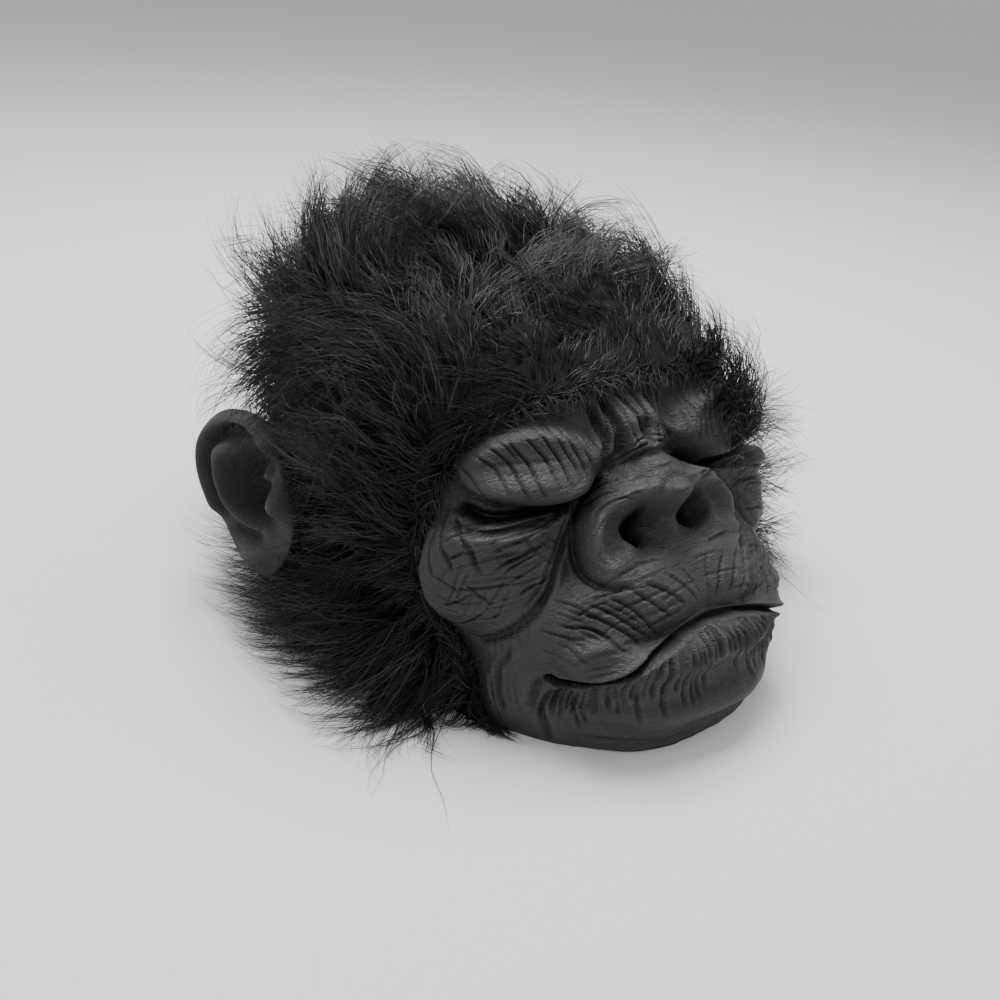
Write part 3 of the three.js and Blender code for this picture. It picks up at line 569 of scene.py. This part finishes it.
def faceRaise(across, level, creased):
    clay = faceRelief(across, level, creased)
    shown = np.minimum(openingHalf(np.minimum(level, cornerLevel)) - np.abs(across),
                       openingLevel(across) - level)
    shown = smooth((shown - faceForm["edgeFlat"]) / faceForm["edgeBlend"])
    base = headPoint(across, level)
    around, up, out = headAxes(across, level)
    soft = chartNoise(base, 0.045, 3.1) * 1.2 + chartNoise(base, 0.16, 8.0) * 0.45
    rise = (clay.rise + soft + faceForm["lapSink"]) * shown - faceForm["lapSink"]
    return base + out * rise[..., None] - up * (clay.slide * shown)[..., None], out, clay.fine * shown


def faceSurface(columns, rows, wall):
    across, level = faceChart(columns, rows)
    points, out, fine = faceRaise(across, level, not wall)
    if wall:
        points = points - out * wall
    placed = leaned(points)
    foot = placed[:1, :, 2]  # the lowest row lies flat on the surface
    lowered = np.clip(1 - np.arange(rows + 1)[:, None] / (rows * 0.06), 0, 1)
    placed[..., 2] -= foot * smooth(lowered)
    return placed, fine, np.stack([across, level, 0 * level], -1)


def gridMesh(bm, columns, rows, points, inward=False):
    made = bmesh.ops.create_grid(bm, x_segments=columns, y_segments=rows, size=1.0)["verts"]
    made.sort(key=lambda v: (round(v.co.y * rows), v.co.x))
    for vert, place in zip(made, points.reshape(-1, 3).tolist()):
        vert.co = place
    if inward:
        bmesh.ops.reverse_faces(bm, faces=list({f for v in made for f in v.link_faces}))
    return made


def rimOf(made, columns, rows):  # the grid's border, in order
    at = lambda r, c: made[r * (columns + 1) + c]
    return ([at(0, c) for c in range(columns)] + [at(r, columns) for r in range(rows)]
            + [at(rows, c) for c in range(columns, 0, -1)] + [at(r, 0) for r in range(rows, 0, -1)])


def joinRims(bm, outer, inner, ratio):  # closes the edge between a fine and a coarse border
    count = len(inner)
    for i in range(count):
        a, b = inner[i], inner[(i + 1) % count]
        near = [outer[(i * ratio + k) % len(outer)] for k in range(ratio + 1)]
        half = ratio // 2
        for k in range(ratio):
            bm.faces.new((near[k + 1], near[k], a if k <= half else b))
            if k == half:
                bm.faces.new((near[k + 1], a, b))


def buildFace():
    f = faceForm
    columns, rows, ratio = f["columns"], f["rows"], f["inner"]
    outer, fine, chart = faceSurface(columns, rows, 0)
    inner, _, _ = faceSurface(columns // ratio, rows // ratio, f["wall"])
    bm = bmesh.new()
    # painted shade in the creases and a painted highlight on the ridges, for the latex material
    lift = bm.verts.layers.float.new("lift")
    spot = bm.verts.layers.float_vector.new("chart")
    front = gridMesh(bm, columns, rows, outer)
    for vert, value, at in zip(front, fine.ravel().tolist(), chart.reshape(-1, 3).tolist()):
        vert[lift], vert[spot] = max(-1, min(1, value * 1.1)), at
    back = gridMesh(bm, columns // ratio, rows // ratio, inner, inward=True)
    joinRims(bm, rimOf(front, columns, rows), rimOf(back, columns // ratio, rows // ratio), ratio)
    return meshOf(bm, "latexFace")


latex = latexMaterial("charcoalLatex")
face = newPiece("latexFace", buildFace(), latex, "latex_face", slotName="latex_face")
print("latex face:", len(face.data.polygons), "faces")


# Ears
earForm = {
    "thick": 5, "across": 185, "level": 117, "stand": 22,
    "flare": 18, "tilt": 8, "spokes": 96, "rings": 40, "middle": (-7, 3), "bowl": 12,
    # forward and up from the ear's place, mm
    "outline": [(20, 8), (20, 22), (16, 33), (7, 40), (-5, 43), (-18, 41), (-29, 34), (-35, 22), (-35, 7),
                (-31, -8), (-27, -22), (-20, -32), (-9, -36), (3, -31), (13, -22), (20, -8)],
    # path, half width, rise, ends
    "ridges": [
        ([(17, 14), (16.5, 26), (10, 35), (-3, 39.5), (-16, 38), (-27, 31), (-32, 20), (-32, 6), (-28, -8)],
         3.4, 8.5, 0.1),
        ([(12, 24), (7, 31), (-3, 34), (-13, 33), (-22, 27.5), (-27, 17), (-27, 5), (-24, -6)],
         2.6, -5.5, 0.15),
        ([(5, 25), (-8, 26.5), (-17, 23), (-21.5, 14), (-21.5, 4), (-17, -4), (-10, -10), (-2, -14)],
         3.8, 9.0, 0.15),
        ([(-11, 4), (0, 7), (10, 11), (16, 17)], 2.3, 5.5, 0.2),
        ([(-27, -9), (-16, -14), (-4, -19)], 2.2, -3.0, 0.3),
    ],
    # centre, half sizes, rise
    "bumps": [
        (-6, 6, 13, 15, -15), (-4, -2, 4.5, 6, -8), (7, 18, 8, 6, -6), (-9, 27, 11, 5, 3),
        (14, -3, 8, 9, 11), (-1, -15, 5, 4, 3.5), (-13, -24, 13, 8, 5.5),
    ],
}


def earPoints(turn, share, back):
    f = earForm
    edge = curveThrough(f["outline"][-1:] + f["outline"] + f["outline"][:1])[8:]
    around = np.linspace(0, 1, len(edge))
    middle = f["middle"]
    x, y = (middle[k] + share * (np.interp(turn / (2 * math.pi), around, edge[:, k]) - middle[k])
            for k in (0, 1))
    brim = np.sqrt(np.clip(1 - share ** 6, 0, 1))
    dish, deep = 5 * share ** 2, f["bowl"] * (1 - share ** 2)
    if back:
        return np.stack([x, y, dish - (f["thick"] + 1) * brim - deep], -1), x * 0
    clay = Sculpt(x, y)
    for path, width, rise, ends in f["ridges"]:
        clay.stroke(path, width, rise, 0, ends, side=1)
    for bx, by, wide, tall, rise in f["bumps"]:
        clay.rise += rise * np.exp(-((x - bx) / wide) ** 2 * 1.4 - ((y - by) / tall) ** 2 * 1.4)
    clay.family([(-20, 24), (-12, 12), (-4, 4)], [(-20, -20), (-10, -14), (0, -10)], 7, 0.8, -0.45, 5)
    z = dish + (2 + clay.rise) * brim
    # the relief also goes out for painted shade in the ear's hollows and a painted highlight on its ridges
    return np.stack([x, y, np.maximum(z, dish - (f["thick"] * 0.6 - 1) * brim - deep)], -1), clay.rise / 9


def earPlace():
    f = earForm
    flare, tilt = math.radians(f["flare"]), math.radians(f["tilt"])
    out = Vector((-math.cos(flare), -math.sin(flare), 0))
    front = Matrix.Rotation(tilt, 3, out) @ Vector((math.sin(flare), -math.cos(flare), 0))
    up = out.cross(front)
    _, _, normal = headAxes(np.array(-f["across"]), np.array(f["level"]))
    centre = headPoint(-f["across"], f["level"]) + normal * f["stand"]
    return np.array([front, up, out]), centre


def buildEar(side):
    f = earForm
    axes, centre = earPlace()
    bm = bmesh.new()
    # painted shade in the hollows and a painted highlight on the ridges, for the latex material
    lift = bm.verts.layers.float.new("lift")
    spot = bm.verts.layers.float_vector.new("chart")
    turn = np.linspace(0, 2 * math.pi, f["spokes"] + 1)[None, :]
    share = np.linspace(0, 1, f["rings"] + 1)[:, None] ** 0.8 + 0 * turn
    for back in (False, True):
        local, rise = earPoints(turn + 0 * share, share, back)
        placed = leaned(local @ axes + centre)
        placed[..., 0] *= -side
        verts = gridMesh(bm, f["spokes"], f["rings"], placed, inward=back == (side > 0))
        for vert, value, at in zip(verts, rise.ravel().tolist(), local.reshape(-1, 3).tolist()):
            vert[lift], vert[spot] = max(-1, min(1, value)), at
    # the stub that seats in the hood: half sizes 7.5 and 13 mm, from 13 to 23 mm deep
    stub = bmesh.ops.create_cone(bm, cap_ends=True, segments=32, radius1=1, radius2=1, depth=1)["verts"]
    for vert in stub:
        near = np.array([vert.co.x * 7.5 + 2, vert.co.y * 13, -13 - 10 * (0.5 - vert.co.z)])
        put = leaned(near @ axes + centre)
        put[0] *= -side
        vert.co = put
    if side > 0:  # mirrored, so its faces turn round
        bmesh.ops.reverse_faces(bm, faces=list({face for vert in stub for face in vert.link_faces}))
    bmesh.ops.remove_doubles(bm, verts=bm.verts, dist=2e-5)
    return meshOf(bm, "ear")


earRight = newPiece("earRight", buildEar(-1), latex, "ear_right", slotName="ear_right")
earLeft = newPiece("earLeft", buildEar(1), latex, "ear_left", slotName="ear_left")
print("ears:", len(earRight.data.polygons), "faces each")


# Fur hood: a cloth backing, then strands
hoodForm = {
    "columns": 102, "rows": 78, "cornerColumns": 15, "cornerRow": 39, "gap": 0.7, "wall": 1.7,
    "crownHeight": 0.12, "crownHalf": 0.01,  # metres: where the grid's last gap is filled
}
turnHalf = math.pi * chartRadius


def hoodChart():  # distance round and level of each grid place, the middle of the face at both ends
    f = hoodForm
    top = crownLevel - 1.5
    k = np.arange(f["columns"] + 1)
    half = np.minimum(k, f["columns"] - k)
    across = np.zeros((f["rows"] + 1, f["columns"] + 1))
    level = np.zeros_like(across)
    for j in range(f["rows"] + 1):
        above = max((j - f["cornerRow"]) / (f["rows"] - f["cornerRow"]), 0)
        share = min(j / f["cornerRow"], 1)
        side = cornerLevel * share
        for _ in range(4):
            gap = openingHalf(np.minimum(side, cornerLevel)) if j < f["cornerRow"] else cornerHalf
            low = np.where(half < f["cornerColumns"], cornerHalf * half / f["cornerColumns"],
                           gap + (turnHalf - gap) * (half - f["cornerColumns"])
                           / (f["columns"] / 2 - f["cornerColumns"]))
            side = floorLevel(low) * (1 - share) + cornerLevel * share
        start = side if j < f["cornerRow"] else openingLevel(low)
        evenly = turnHalf * half / (f["columns"] / 2)
        across[j] = (low * (1 - above) + evenly * above) * np.where(k > f["columns"] / 2, -1, 1)
        level[j] = start * (1 - above) + top * above
    return across, level


hoodAcross, hoodLevel = hoodChart()


def clothed(j, k):
    f = hoodForm
    return j >= f["cornerRow"] or f["cornerColumns"] <= k < f["columns"] - f["cornerColumns"]


def hoodPlace(across, level, rise):
    _, _, out = headAxes(across, level)
    return leaned(headPoint(across, level) + out * np.asarray(rise)[..., None])


def buildBacking():
    f = hoodForm
    points = hoodPlace(hoodAcross, hoodLevel, np.full(hoodAcross.shape, f["gap"]))
    points[0, :, 2] = 0
    bm = bmesh.new()
    made = gridMesh(bm, f["columns"], f["rows"], points)
    at = {v: i for i, v in enumerate(made)}
    wide = f["columns"] + 1
    bare = []
    for face in bm.faces:
        low = min(at[v] for v in face.verts)
        if not clothed(low // wide, low % wide):
            bare.append(face)
    bmesh.ops.delete(bm, geom=bare, context="FACES")
    bmesh.ops.remove_doubles(bm, verts=bm.verts, dist=1e-5)
    rim = [e for e in bm.edges if e.is_boundary and all(
           v.co.z > f["crownHeight"] and abs(v.co.x) < f["crownHalf"] for v in e.verts)]
    if rim:
        bmesh.ops.holes_fill(bm, edges=rim)
    bmesh.ops.recalc_face_normals(bm, faces=bm.faces)
    bmesh.ops.solidify(bm, geom=bm.faces, thickness=-f["wall"] / 1000)
    bmesh.ops.reverse_faces(bm, faces=bm.faces)  # the wall grows outwards, which turns them inwards
    for vert in bm.verts:
        vert.co.z = max(vert.co.z, 0)
    return meshOf(bm, "hoodBacking")


backing = newPiece("hoodBacking", buildBacking(), backingMaterial("blackBacking"), "hood_backing",
                   slotName="hood_backing")
print("hood backing:", len(backing.data.polygons), "faces")

furForm = {
    "seed": 7, "tufts": 1150, "locks": 10000, "short": 6000, "loose": 1300, "spill": 1500, "fringe": 850,
    "far": 800, "skirt": 2300,
    "longRadius": 0.00022, "shortRadius": 0.00038, "looseRadius": 0.00014, "taper": (0.88, 1.6),
    "reach": (151, 183, 194), "easing": 22,  # no strand goes past these, mm
    "sunk": 0.6, "lifts": (1.15, 0.4), "sag": (0.04, 0.22), "floorGap": 0.7,
    "edgeShare": 0.66, "edgeFade": 26,  # length along the face opening
    "earShare": 0.12, "earRadius": 27, "earFade": 24,  # and round the ears
    "nearShare": 1.25, "farShare": 0.85, "lowShare": 1.5, "crownShare": 1.6,  # how thickly strands stand
    # strands that fall over the face or round its edge: where they grow, which way, lifts at root and
    # tip in degrees, length in mm
    "falls": {
        "skirt": {"across": (92, 260), "level": (1, 40), "near": 0.62,
                  "lean": 3.14, "spread": 0.5, "lifts": (80, 32), "length": (40, 80)},
        "far": {"across": (94, 112), "level": (42, 122),
                "lean": 3.14, "spread": 0.5, "lifts": (86, 62), "length": (42, 62)},
        "spill": {"past": 5, "above": 0.36, "lean": 0.0, "spread": 1.0, "lifts": (48, 4), "length": (8, 17)},
        "fringe": {"across": (43, 94), "level": (117, 152),
                   "lean": 1.2, "spread": 1.0, "lifts": (52, -6), "length": (16, 36)},
    },
    "combLeft": [(100, 112, 0.15, 0.1, 84, 88), (104, 88, 0.1, 0.0, 86, 92), (98, 62, 0.1, -0.1, 84, 84)],
    # where on the right side: across, level; which way: round to the back, up; lift degrees; length mm
    "comb": [
        (4, 158, 0.5, 1.0, 34, 22), (30, 158, 0.9, 0.55, 30, 26), (60, 152, 1.0, 0.15, 28, 32),
        (88, 140, 1.0, -0.05, 30, 34), (4, 185, 0.2, 1.0, 30, 30), (50, 190, 0.7, 0.8, 36, 40),
        (100, 180, 1.0, 0.25, 40, 48), (0, 225, 0.1, 1.0, 44, 42), (60, 225, 0.6, 0.9, 52, 48),
        (0, 265, 0.1, 1.0, 60, 46), (140, 225, 1.0, 0.5, 56, 50), (130, 150, 1.0, 0.1, 44, 50),
        (160, 180, 1.0, 0.3, 52, 54), (112, 118, 1.0, -0.05, 44, 46), (106, 90, 0.9, -0.3, 46, 44),
        (140, 80, 0.8, -0.35, 58, 60), (102, 60, 0.7, -0.45, 48, 44), (100, 35, 0.7, -0.4, 50, 48),
        (92, 14, 0.6, -0.45, 46, 40), (140, 40, 0.8, -0.3, 68, 68), (180, 60, 0.6, -0.3, 70, 72),
        (120, 15, 0.7, -0.3, 62, 62), (165, 20, 0.5, -0.2, 74, 86), (205, 25, 0.4, -0.2, 76, 90),
        (235, 35, 0.3, -0.2, 74, 84), (225, 120, 0.7, -0.4, 52, 54), (230, 190, 0.8, -0.1, 54, 52),
        (300, 230, 0.0, -0.5, 54, 48), (300, 150, 0.0, -1.0, 48, 52), (300, 90, 0.0, -1.0, 52, 54),
        (240, 80, 0.3, -0.8, 54, 54),
    ],
}


def combAt(points, out):  # direction along the surface, lift and length at places on the hood
    where, way, values = [], [], []
    for side in (-1, 1):
        rows = np.array(furForm["comb"] + (furForm["combLeft"] if side > 0 else []), float)
        a, l = rows[:, 0] * side, rows[:, 1]
        around, up, _ = headAxes(a, l)
        where.append(leaned(headPoint(a, l)) * 1000)
        way.append(leanedDirection(unit(around * (rows[:, 2] * side)[:, None] + up * rows[:, 3][:, None])))
        values.append(rows[:, 4:6])
    where, way, values = np.vstack(where), np.vstack(way), np.vstack(values)
    gap = ((points[:, None, :] * 1000 - where[None]) ** 2).sum(-1)
    weight = 1 / (gap + 12 ** 2) ** 2
    weight /= weight.sum(1, keepdims=True)
    flow = weight @ way
    flow = unit(flow - out * (flow * out).sum(-1, keepdims=True))
    return flow, weight @ values


def scatter(count, rng):  # roots spread evenly over the hood, as distance round and level
    corners = hoodPlace(hoodAcross, hoodLevel, np.zeros(hoodAcross.shape))
    a, b = corners[1:, :-1] - corners[:-1, :-1], corners[:-1, 1:] - corners[:-1, :-1]
    area = np.linalg.norm(np.cross(a, b), axis=-1)
    rows, columns = area.shape
    on = np.array([[clothed(j, k) for k in range(columns)] for j in range(rows)])
    f = furForm
    level = hoodLevel[:-1, :-1]
    seen = np.where(hoodAcross[:-1, :-1] < 0, f["nearShare"], f["farShare"])
    seen = seen * np.where(level < 60, f["lowShare"], 1.0) * np.where(level > 190, f["crownShare"], 1.0)
    chance = (area * on * seen).ravel()
    cell = rng.choice(rows * columns, count, p=chance / chance.sum())
    j, k = cell // columns, cell % columns
    u, v = rng.random(count), rng.random(count)

    def pick(grid):
        g = [grid[j, k], grid[j, k + 1], grid[j + 1, k + 1], grid[j + 1, k]]
        g = [np.where(np.abs(x - g[0]) > turnHalf, x + 2 * turnHalf * np.sign(g[0]), x) for x in g]
        return (g[0] * (1 - u) + g[1] * u) * (1 - v) + (g[3] * (1 - u) + g[2] * u) * v
    return pick(hoodAcross), pick(hoodLevel)


def growFur(places, steps, radius, reach, rng, tufts, stray, curl=1.0, over=None):
    f = furForm
    across, level = places
    count = len(across)
    around, up, out = headAxes(across, level)
    root = leaned(headPoint(across, level) + out * (hoodForm["gap"] + hoodForm["wall"] - f["sunk"])) * 1000
    out = leanedDirection(out)
    flow, values = combAt(root / 1000, out)
    side = unit(np.cross(flow, out))
    near = np.argmin(((root[:, None, :] - tufts["root"][None]) ** 2).sum(-1), 1)
    of = {key: value[near] for key, value in tufts.items()}
    away = np.abs(across)
    clear = np.where(level > cornerLevel, away - cornerHalf, away - openingHalf(level))
    clear = np.maximum(clear, level - openingLevel(away))
    edge = f["edgeShare"] + (1 - f["edgeShare"]) * smooth(clear / f["edgeFade"])
    ear = np.hypot(away - earForm["across"], (level - earForm["level"]) * 0.8)
    short = f["earShare"] + (1 - f["earShare"]) * smooth((ear - f["earRadius"]) / f["earFade"])
    length = values[:, 1] * reach * rng.uniform(0.75, 1.15, count) * edge * short * of["long"]
    lift = np.radians(values[:, 0] * (0.7 + 0.3 * short)) * of["lift"]
    lift = lift * (1 + rng.normal(0, stray * 0.6, count))
    swing = of["swing"] + rng.normal(0, stray, count)
    lifts = f["lifts"]
    if over:  # its heading is the way to the middle of the face
        flow = leanedDirection(unit(around * -across[:, None] + up * (100 - level)[:, None]))
        side = unit(np.cross(flow, out))
        swing = rng.normal(over["lean"], over["spread"], count)
        lifts, lift = over["lifts"], np.radians(rng.uniform(0.75, 1.2, count))
        length = rng.uniform(*over["length"], count)
        root = over.get("root", root)
    heading = unit(flow * np.cos(swing)[:, None] + side * np.sin(swing)[:, None])
    beside = unit(np.cross(heading, out))
    bend = of["bend"] + rng.normal(0, stray * 0.5, count)
    size = of["wave"] * curl * (length / 40)
    turns = of["turns"] * rng.uniform(0.94, 1.06, count)
    phase = of["phase"] + rng.normal(0, 1.6 * stray, count)
    path = np.zeros((count, steps, 3))
    path[:, 0] = here = root
    for i in range(1, steps):
        s = i / (steps - 1)
        rise = lift * (lifts[0] + (lifts[1] - lifts[0]) * s)
        turned = unit(heading + beside * (bend * s)[:, None])
        step = turned * np.cos(rise)[:, None] + out * np.sin(rise)[:, None]
        step[:, 2] -= f["sag"][0] + f["sag"][1] * s
        here = here + unit(step) * (length / (steps - 1))[:, None]
        sway = np.sin(turns * s * 6.28 + phase) - np.sin(phase)
        swell = np.cos(turns * s * 6.28 + phase) - np.cos(phase)
        path[:, i] = here + beside * (sway * size * s)[:, None] + out * (swell * size * s * 0.5)[:, None]
    # a tuft's strands draw together towards its tip
    share = np.linspace(0, 1, steps)
    pull = (of["draw"] * rng.uniform(0.6, 1.0, count))[:, None] * share[None, :] ** 0.75
    offset = root - of["root"]
    offset -= (offset * out).sum(-1, keepdims=True) * out
    path -= offset[:, None, :] * pull[..., None]
    low = f["floorGap"] + 0.5 * rng.random(path.shape[:2])
    path[..., 2] = np.where(path[..., 2] < f["floorGap"], low, path[..., 2])
    ease = f["easing"]
    past = np.abs(path) - (np.array(f["reach"]) - ease)
    path = np.where(past > 0, path - np.sign(path) * (past - ease * np.tanh(past / ease)), path)
    most, power = f["taper"]
    thick = radius * rng.uniform(0.75, 1.25, count)[:, None] * (1 - most * share[None, :] ** power)
    shade = 0.65 * of["shade"] + 0.35 * rng.random(count)
    return path / 1000, thick, shade


def strandPieces(name, path, thick, shade, material, perPiece):
    profile = bpy.data.curves.new("strandProfile", "CURVE")
    profile.dimensions = "2D"
    ring = profile.splines.new("POLY")
    ring.points.add(2)
    third = 2.0944  # of a turn
    for i, point in enumerate(ring.points):
        point.co = (math.cos(i * third), -math.sin(i * third), 0, 1)
    ring.use_cyclic_u = True
    profileObject = addObject("strandProfile", profile)
    steps = path.shape[1]
    made = []
    for start in range(0, len(path), perPiece):
        batch = slice(start, min(start + perPiece, len(path)))
        curve = bpy.data.curves.new(name, "CURVE")
        curve.dimensions = "3D"
        curve.bevel_mode, curve.bevel_object = "OBJECT", profileObject
        curve.use_fill_caps = True
        curve.twist_mode = "MINIMUM"
        for line, radii in zip(path[batch], thick[batch]):
            spline = curve.splines.new("POLY")
            spline.points.add(steps - 1)
            spline.points.foreach_set("co", np.hstack([line, np.ones((steps, 1))]).ravel())
            spline.points.foreach_set("radius", radii)
        holder = addObject(name, curve)
        bpy.context.view_layer.update()
        mesh = bpy.data.meshes.new_from_object(holder.evaluated_get(bpy.context.evaluated_depsgraph_get()))
        bpy.data.objects.remove(holder)
        bpy.data.curves.remove(curve)
        count = batch.stop - batch.start
        each = len(mesh.vertices) // count
        tone = mesh.attributes.new("strand", "FLOAT", "POINT")
        tone.data.foreach_set("value", np.repeat(shade[batch], each).astype(np.float32))
        bm = bmesh.new()
        bm.from_mesh(mesh)
        bmesh.ops.remove_doubles(bm, verts=bm.verts, dist=1e-7)  # joins each strand's end caps to it
        bm.to_mesh(mesh)
        bm.free()
        mesh.shade_smooth()
        mesh.name = name
        made.append(newPiece(f"{name}{len(made) + 1}", mesh, material, "fur_hood", slotName="fur_hood"))
    bpy.data.objects.remove(profileObject)
    return made


def buildFur():
    f = furForm
    rng = np.random.default_rng(f["seed"])
    across, level = scatter(f["tufts"], rng)
    count = f["tufts"]
    where = headPoint(across, level)

    def drift(scale, seed, size, loose):  # neighbours lie alike
        return chartNoise(where, scale, seed) * size + rng.normal(0, loose, count)
    tufts = {
        "root": hoodPlace(across, level, np.full(count, hoodForm["gap"] + hoodForm["wall"])) * 1000,
        "swing": drift(0.022, 5.5, 2.2, 0.28) + drift(0.055, 9.1, 1.2, 0.1),
        "bend": drift(0.03, 13.3, 2.4, 0.5),
        "long": np.clip(1 + drift(0.035, 33.3, 0.5, 0.12), 0.6, 1.4),
        "draw": rng.uniform(0.7, 1.0, count),
        "lift": np.clip(1 + drift(0.03, 17.7, 0.4, 0.16), 0.6, 1.3),
        "wave": np.clip(3.4 + drift(0.03, 21.1, 4.0, 1.0), 0.8, 6.5),
        "turns": np.clip(1.1 + drift(0.025, 25.5, 0.8, 0.12), 0.6, 1.7),
        "phase": drift(0.022, 29.9, 14, 0.8),
        # lock tones at random; the lightest locks take the painted sheen
        "shade": np.clip(0.45 + drift(0.07, 37.7, 1.1, 0.22), 0, 1),
    }
    loose = dict(tufts, draw=tufts["draw"] * 0)
    soft = furMaterial("blackFur")
    under = growFur(scatter(f["short"], rng), 4, f["shortRadius"], 0.62, rng, loose, 0.35)
    locks = growFur(scatter(f["locks"], rng), 7, f["longRadius"], 1.0, rng, tufts, 0.07)
    frizz = growFur(scatter(f["loose"], rng), 6, f["looseRadius"], 0.95, rng, loose, 0.4, 1.5)
    fall = f["falls"]["skirt"]  # longest down by the surface
    across = rng.uniform(*fall["across"], f["skirt"])
    level = floorLevel(across) + rng.uniform(*fall["level"], f["skirt"])
    across = across * rng.choice([-1, 1], f["skirt"], p=[fall["near"], 1 - fall["near"]])
    skirt = growFur((across, level), 6, f["longRadius"], 1, rng, tufts, 0.12, 0.7, fall)
    fall = f["falls"]["far"]
    across, level = rng.uniform(*fall["across"], f["far"]), rng.uniform(*fall["level"], f["far"])
    far = growFur((across, level), 6, f["longRadius"], 1, rng, tufts, 0.2, 1.0, fall)
    # along the opening's edge, some fall over the face
    fall = f["falls"]["spill"]
    count = f["spill"]
    level = rng.uniform(0, cornerLevel, count)
    across = (openingHalf(level) + rng.uniform(0, fall["past"], count)) * rng.choice([-1, 1], count)
    top = rng.random(count) < fall["above"]
    across = np.where(top, rng.uniform(-cornerHalf, cornerHalf, count), across)
    level = np.where(top, openingLevel(across) + rng.uniform(0, fall["past"], count), level)
    spill = growFur((across, level), 5, f["longRadius"], 1, rng, loose, 0.3, 1.0, fall)
    # the wearer's left brow lies half under loose curls
    fall = f["falls"]["fringe"]
    across, level = rng.uniform(*fall["across"], f["fringe"]), rng.uniform(*fall["level"], f["fringe"])
    on, _, _ = faceRaise(across, level, False)
    fringe = growFur((across, level), 6, f["longRadius"], 1, rng, loose, 0.3, 2.4,
                     dict(fall, root=leaned(on) * 1000))
    groups = {"underFur": under, "locks": locks, "frizz": frizz, "skirt": skirt, "farSide": far,
              "spill": spill, "fringe": fringe}
    return [piece for name, group in groups.items() for piece in strandPieces(name, *group, soft, 5000)]


fur = buildFur()
triangles = sum(len(piece.data.loops) - 2 * len(piece.data.polygons) for piece in fur)
print("fur:", triangles, "triangles in", len(fur), "pieces")


# Camera, floor and lights
view = {"azimuth": -38, "elevation": 30, "roll": 5, "distance": 0.465, "lens": 36,
        "target": (0.0, -0.0514, 0.065), "offset": (-0.0255, -0.0105)}
az, el, roll = (math.radians(view[k]) for k in ("azimuth", "elevation", "roll"))
backward = Vector((math.sin(az) * math.cos(el), -math.cos(az) * math.cos(el), math.sin(el)))
right = Vector((math.cos(az), math.sin(az), 0))
upward = backward.cross(right)
place = (Vector(view["target"]) + right * view["offset"][0] + upward * view["offset"][1]
         + backward * view["distance"])
turned = right * math.cos(roll) + upward * math.sin(roll)
raised = upward * math.cos(roll) - right * math.sin(roll)
cameraData = bpy.data.cameras.new("camera")
cameraData.lens, cameraData.sensor_width = view["lens"], 36
cameraData.clip_start = 0.01
camera = addObject("camera", cameraData)
camera.matrix_world = Matrix((turned, raised, backward)).transposed().to_4x4()
camera.location = place
bpy.context.scene.camera = camera

studio = {"floor": (0.72, 0.715, 0.70), "floorSize": 30.0, "floorDrop": 0.0002,
          "world": (0.80, 0.81, 0.82), "worldStrength": 0.75}
bm = bmesh.new()
bmesh.ops.create_grid(bm, x_segments=1, y_segments=1, size=studio["floorSize"])
floor = addObject("floor", meshOf(bm, "floor"))
paper = Shader("paleFloor")
paper.set(Base_Color=(*studio["floor"], 1), Roughness=0.7, Specular_IOR_Level=0.3)
floor.data.materials.append(paper.material)
floor.location.z = -studio["floorDrop"]

world = bpy.data.worlds.new("studio")
bpy.context.scene.world = world
world.use_nodes = True
sky = world.node_tree.nodes["Background"].inputs
sky[0].default_value, sky[1].default_value = (*studio["world"], 1), studio["worldStrength"]

lamps = [  # name, place, size, power, colour
    ("overhead", (0.1, 0.35, 1.3), 0.7, 30, (1.0, 0.985, 0.96)),
    ("left", (-1.1, -0.35, 0.8), 0.8, 4, (0.97, 0.98, 1.0)),
    ("right", (1.0, -0.5, 0.9), 0.8, 5, (1.0, 0.99, 0.97)),
]
for name, where, size, power, colour in lamps:
    data = bpy.data.lights.new(name, "AREA")
    data.size, data.energy, data.color = size, power, colour
    lamp = addObject(name, data)
    lamp.location = where
    lamp.rotation_euler = (Vector((0, 0, 0.08)) - Vector(where)).to_track_quat("-Z", "Y").to_euler()
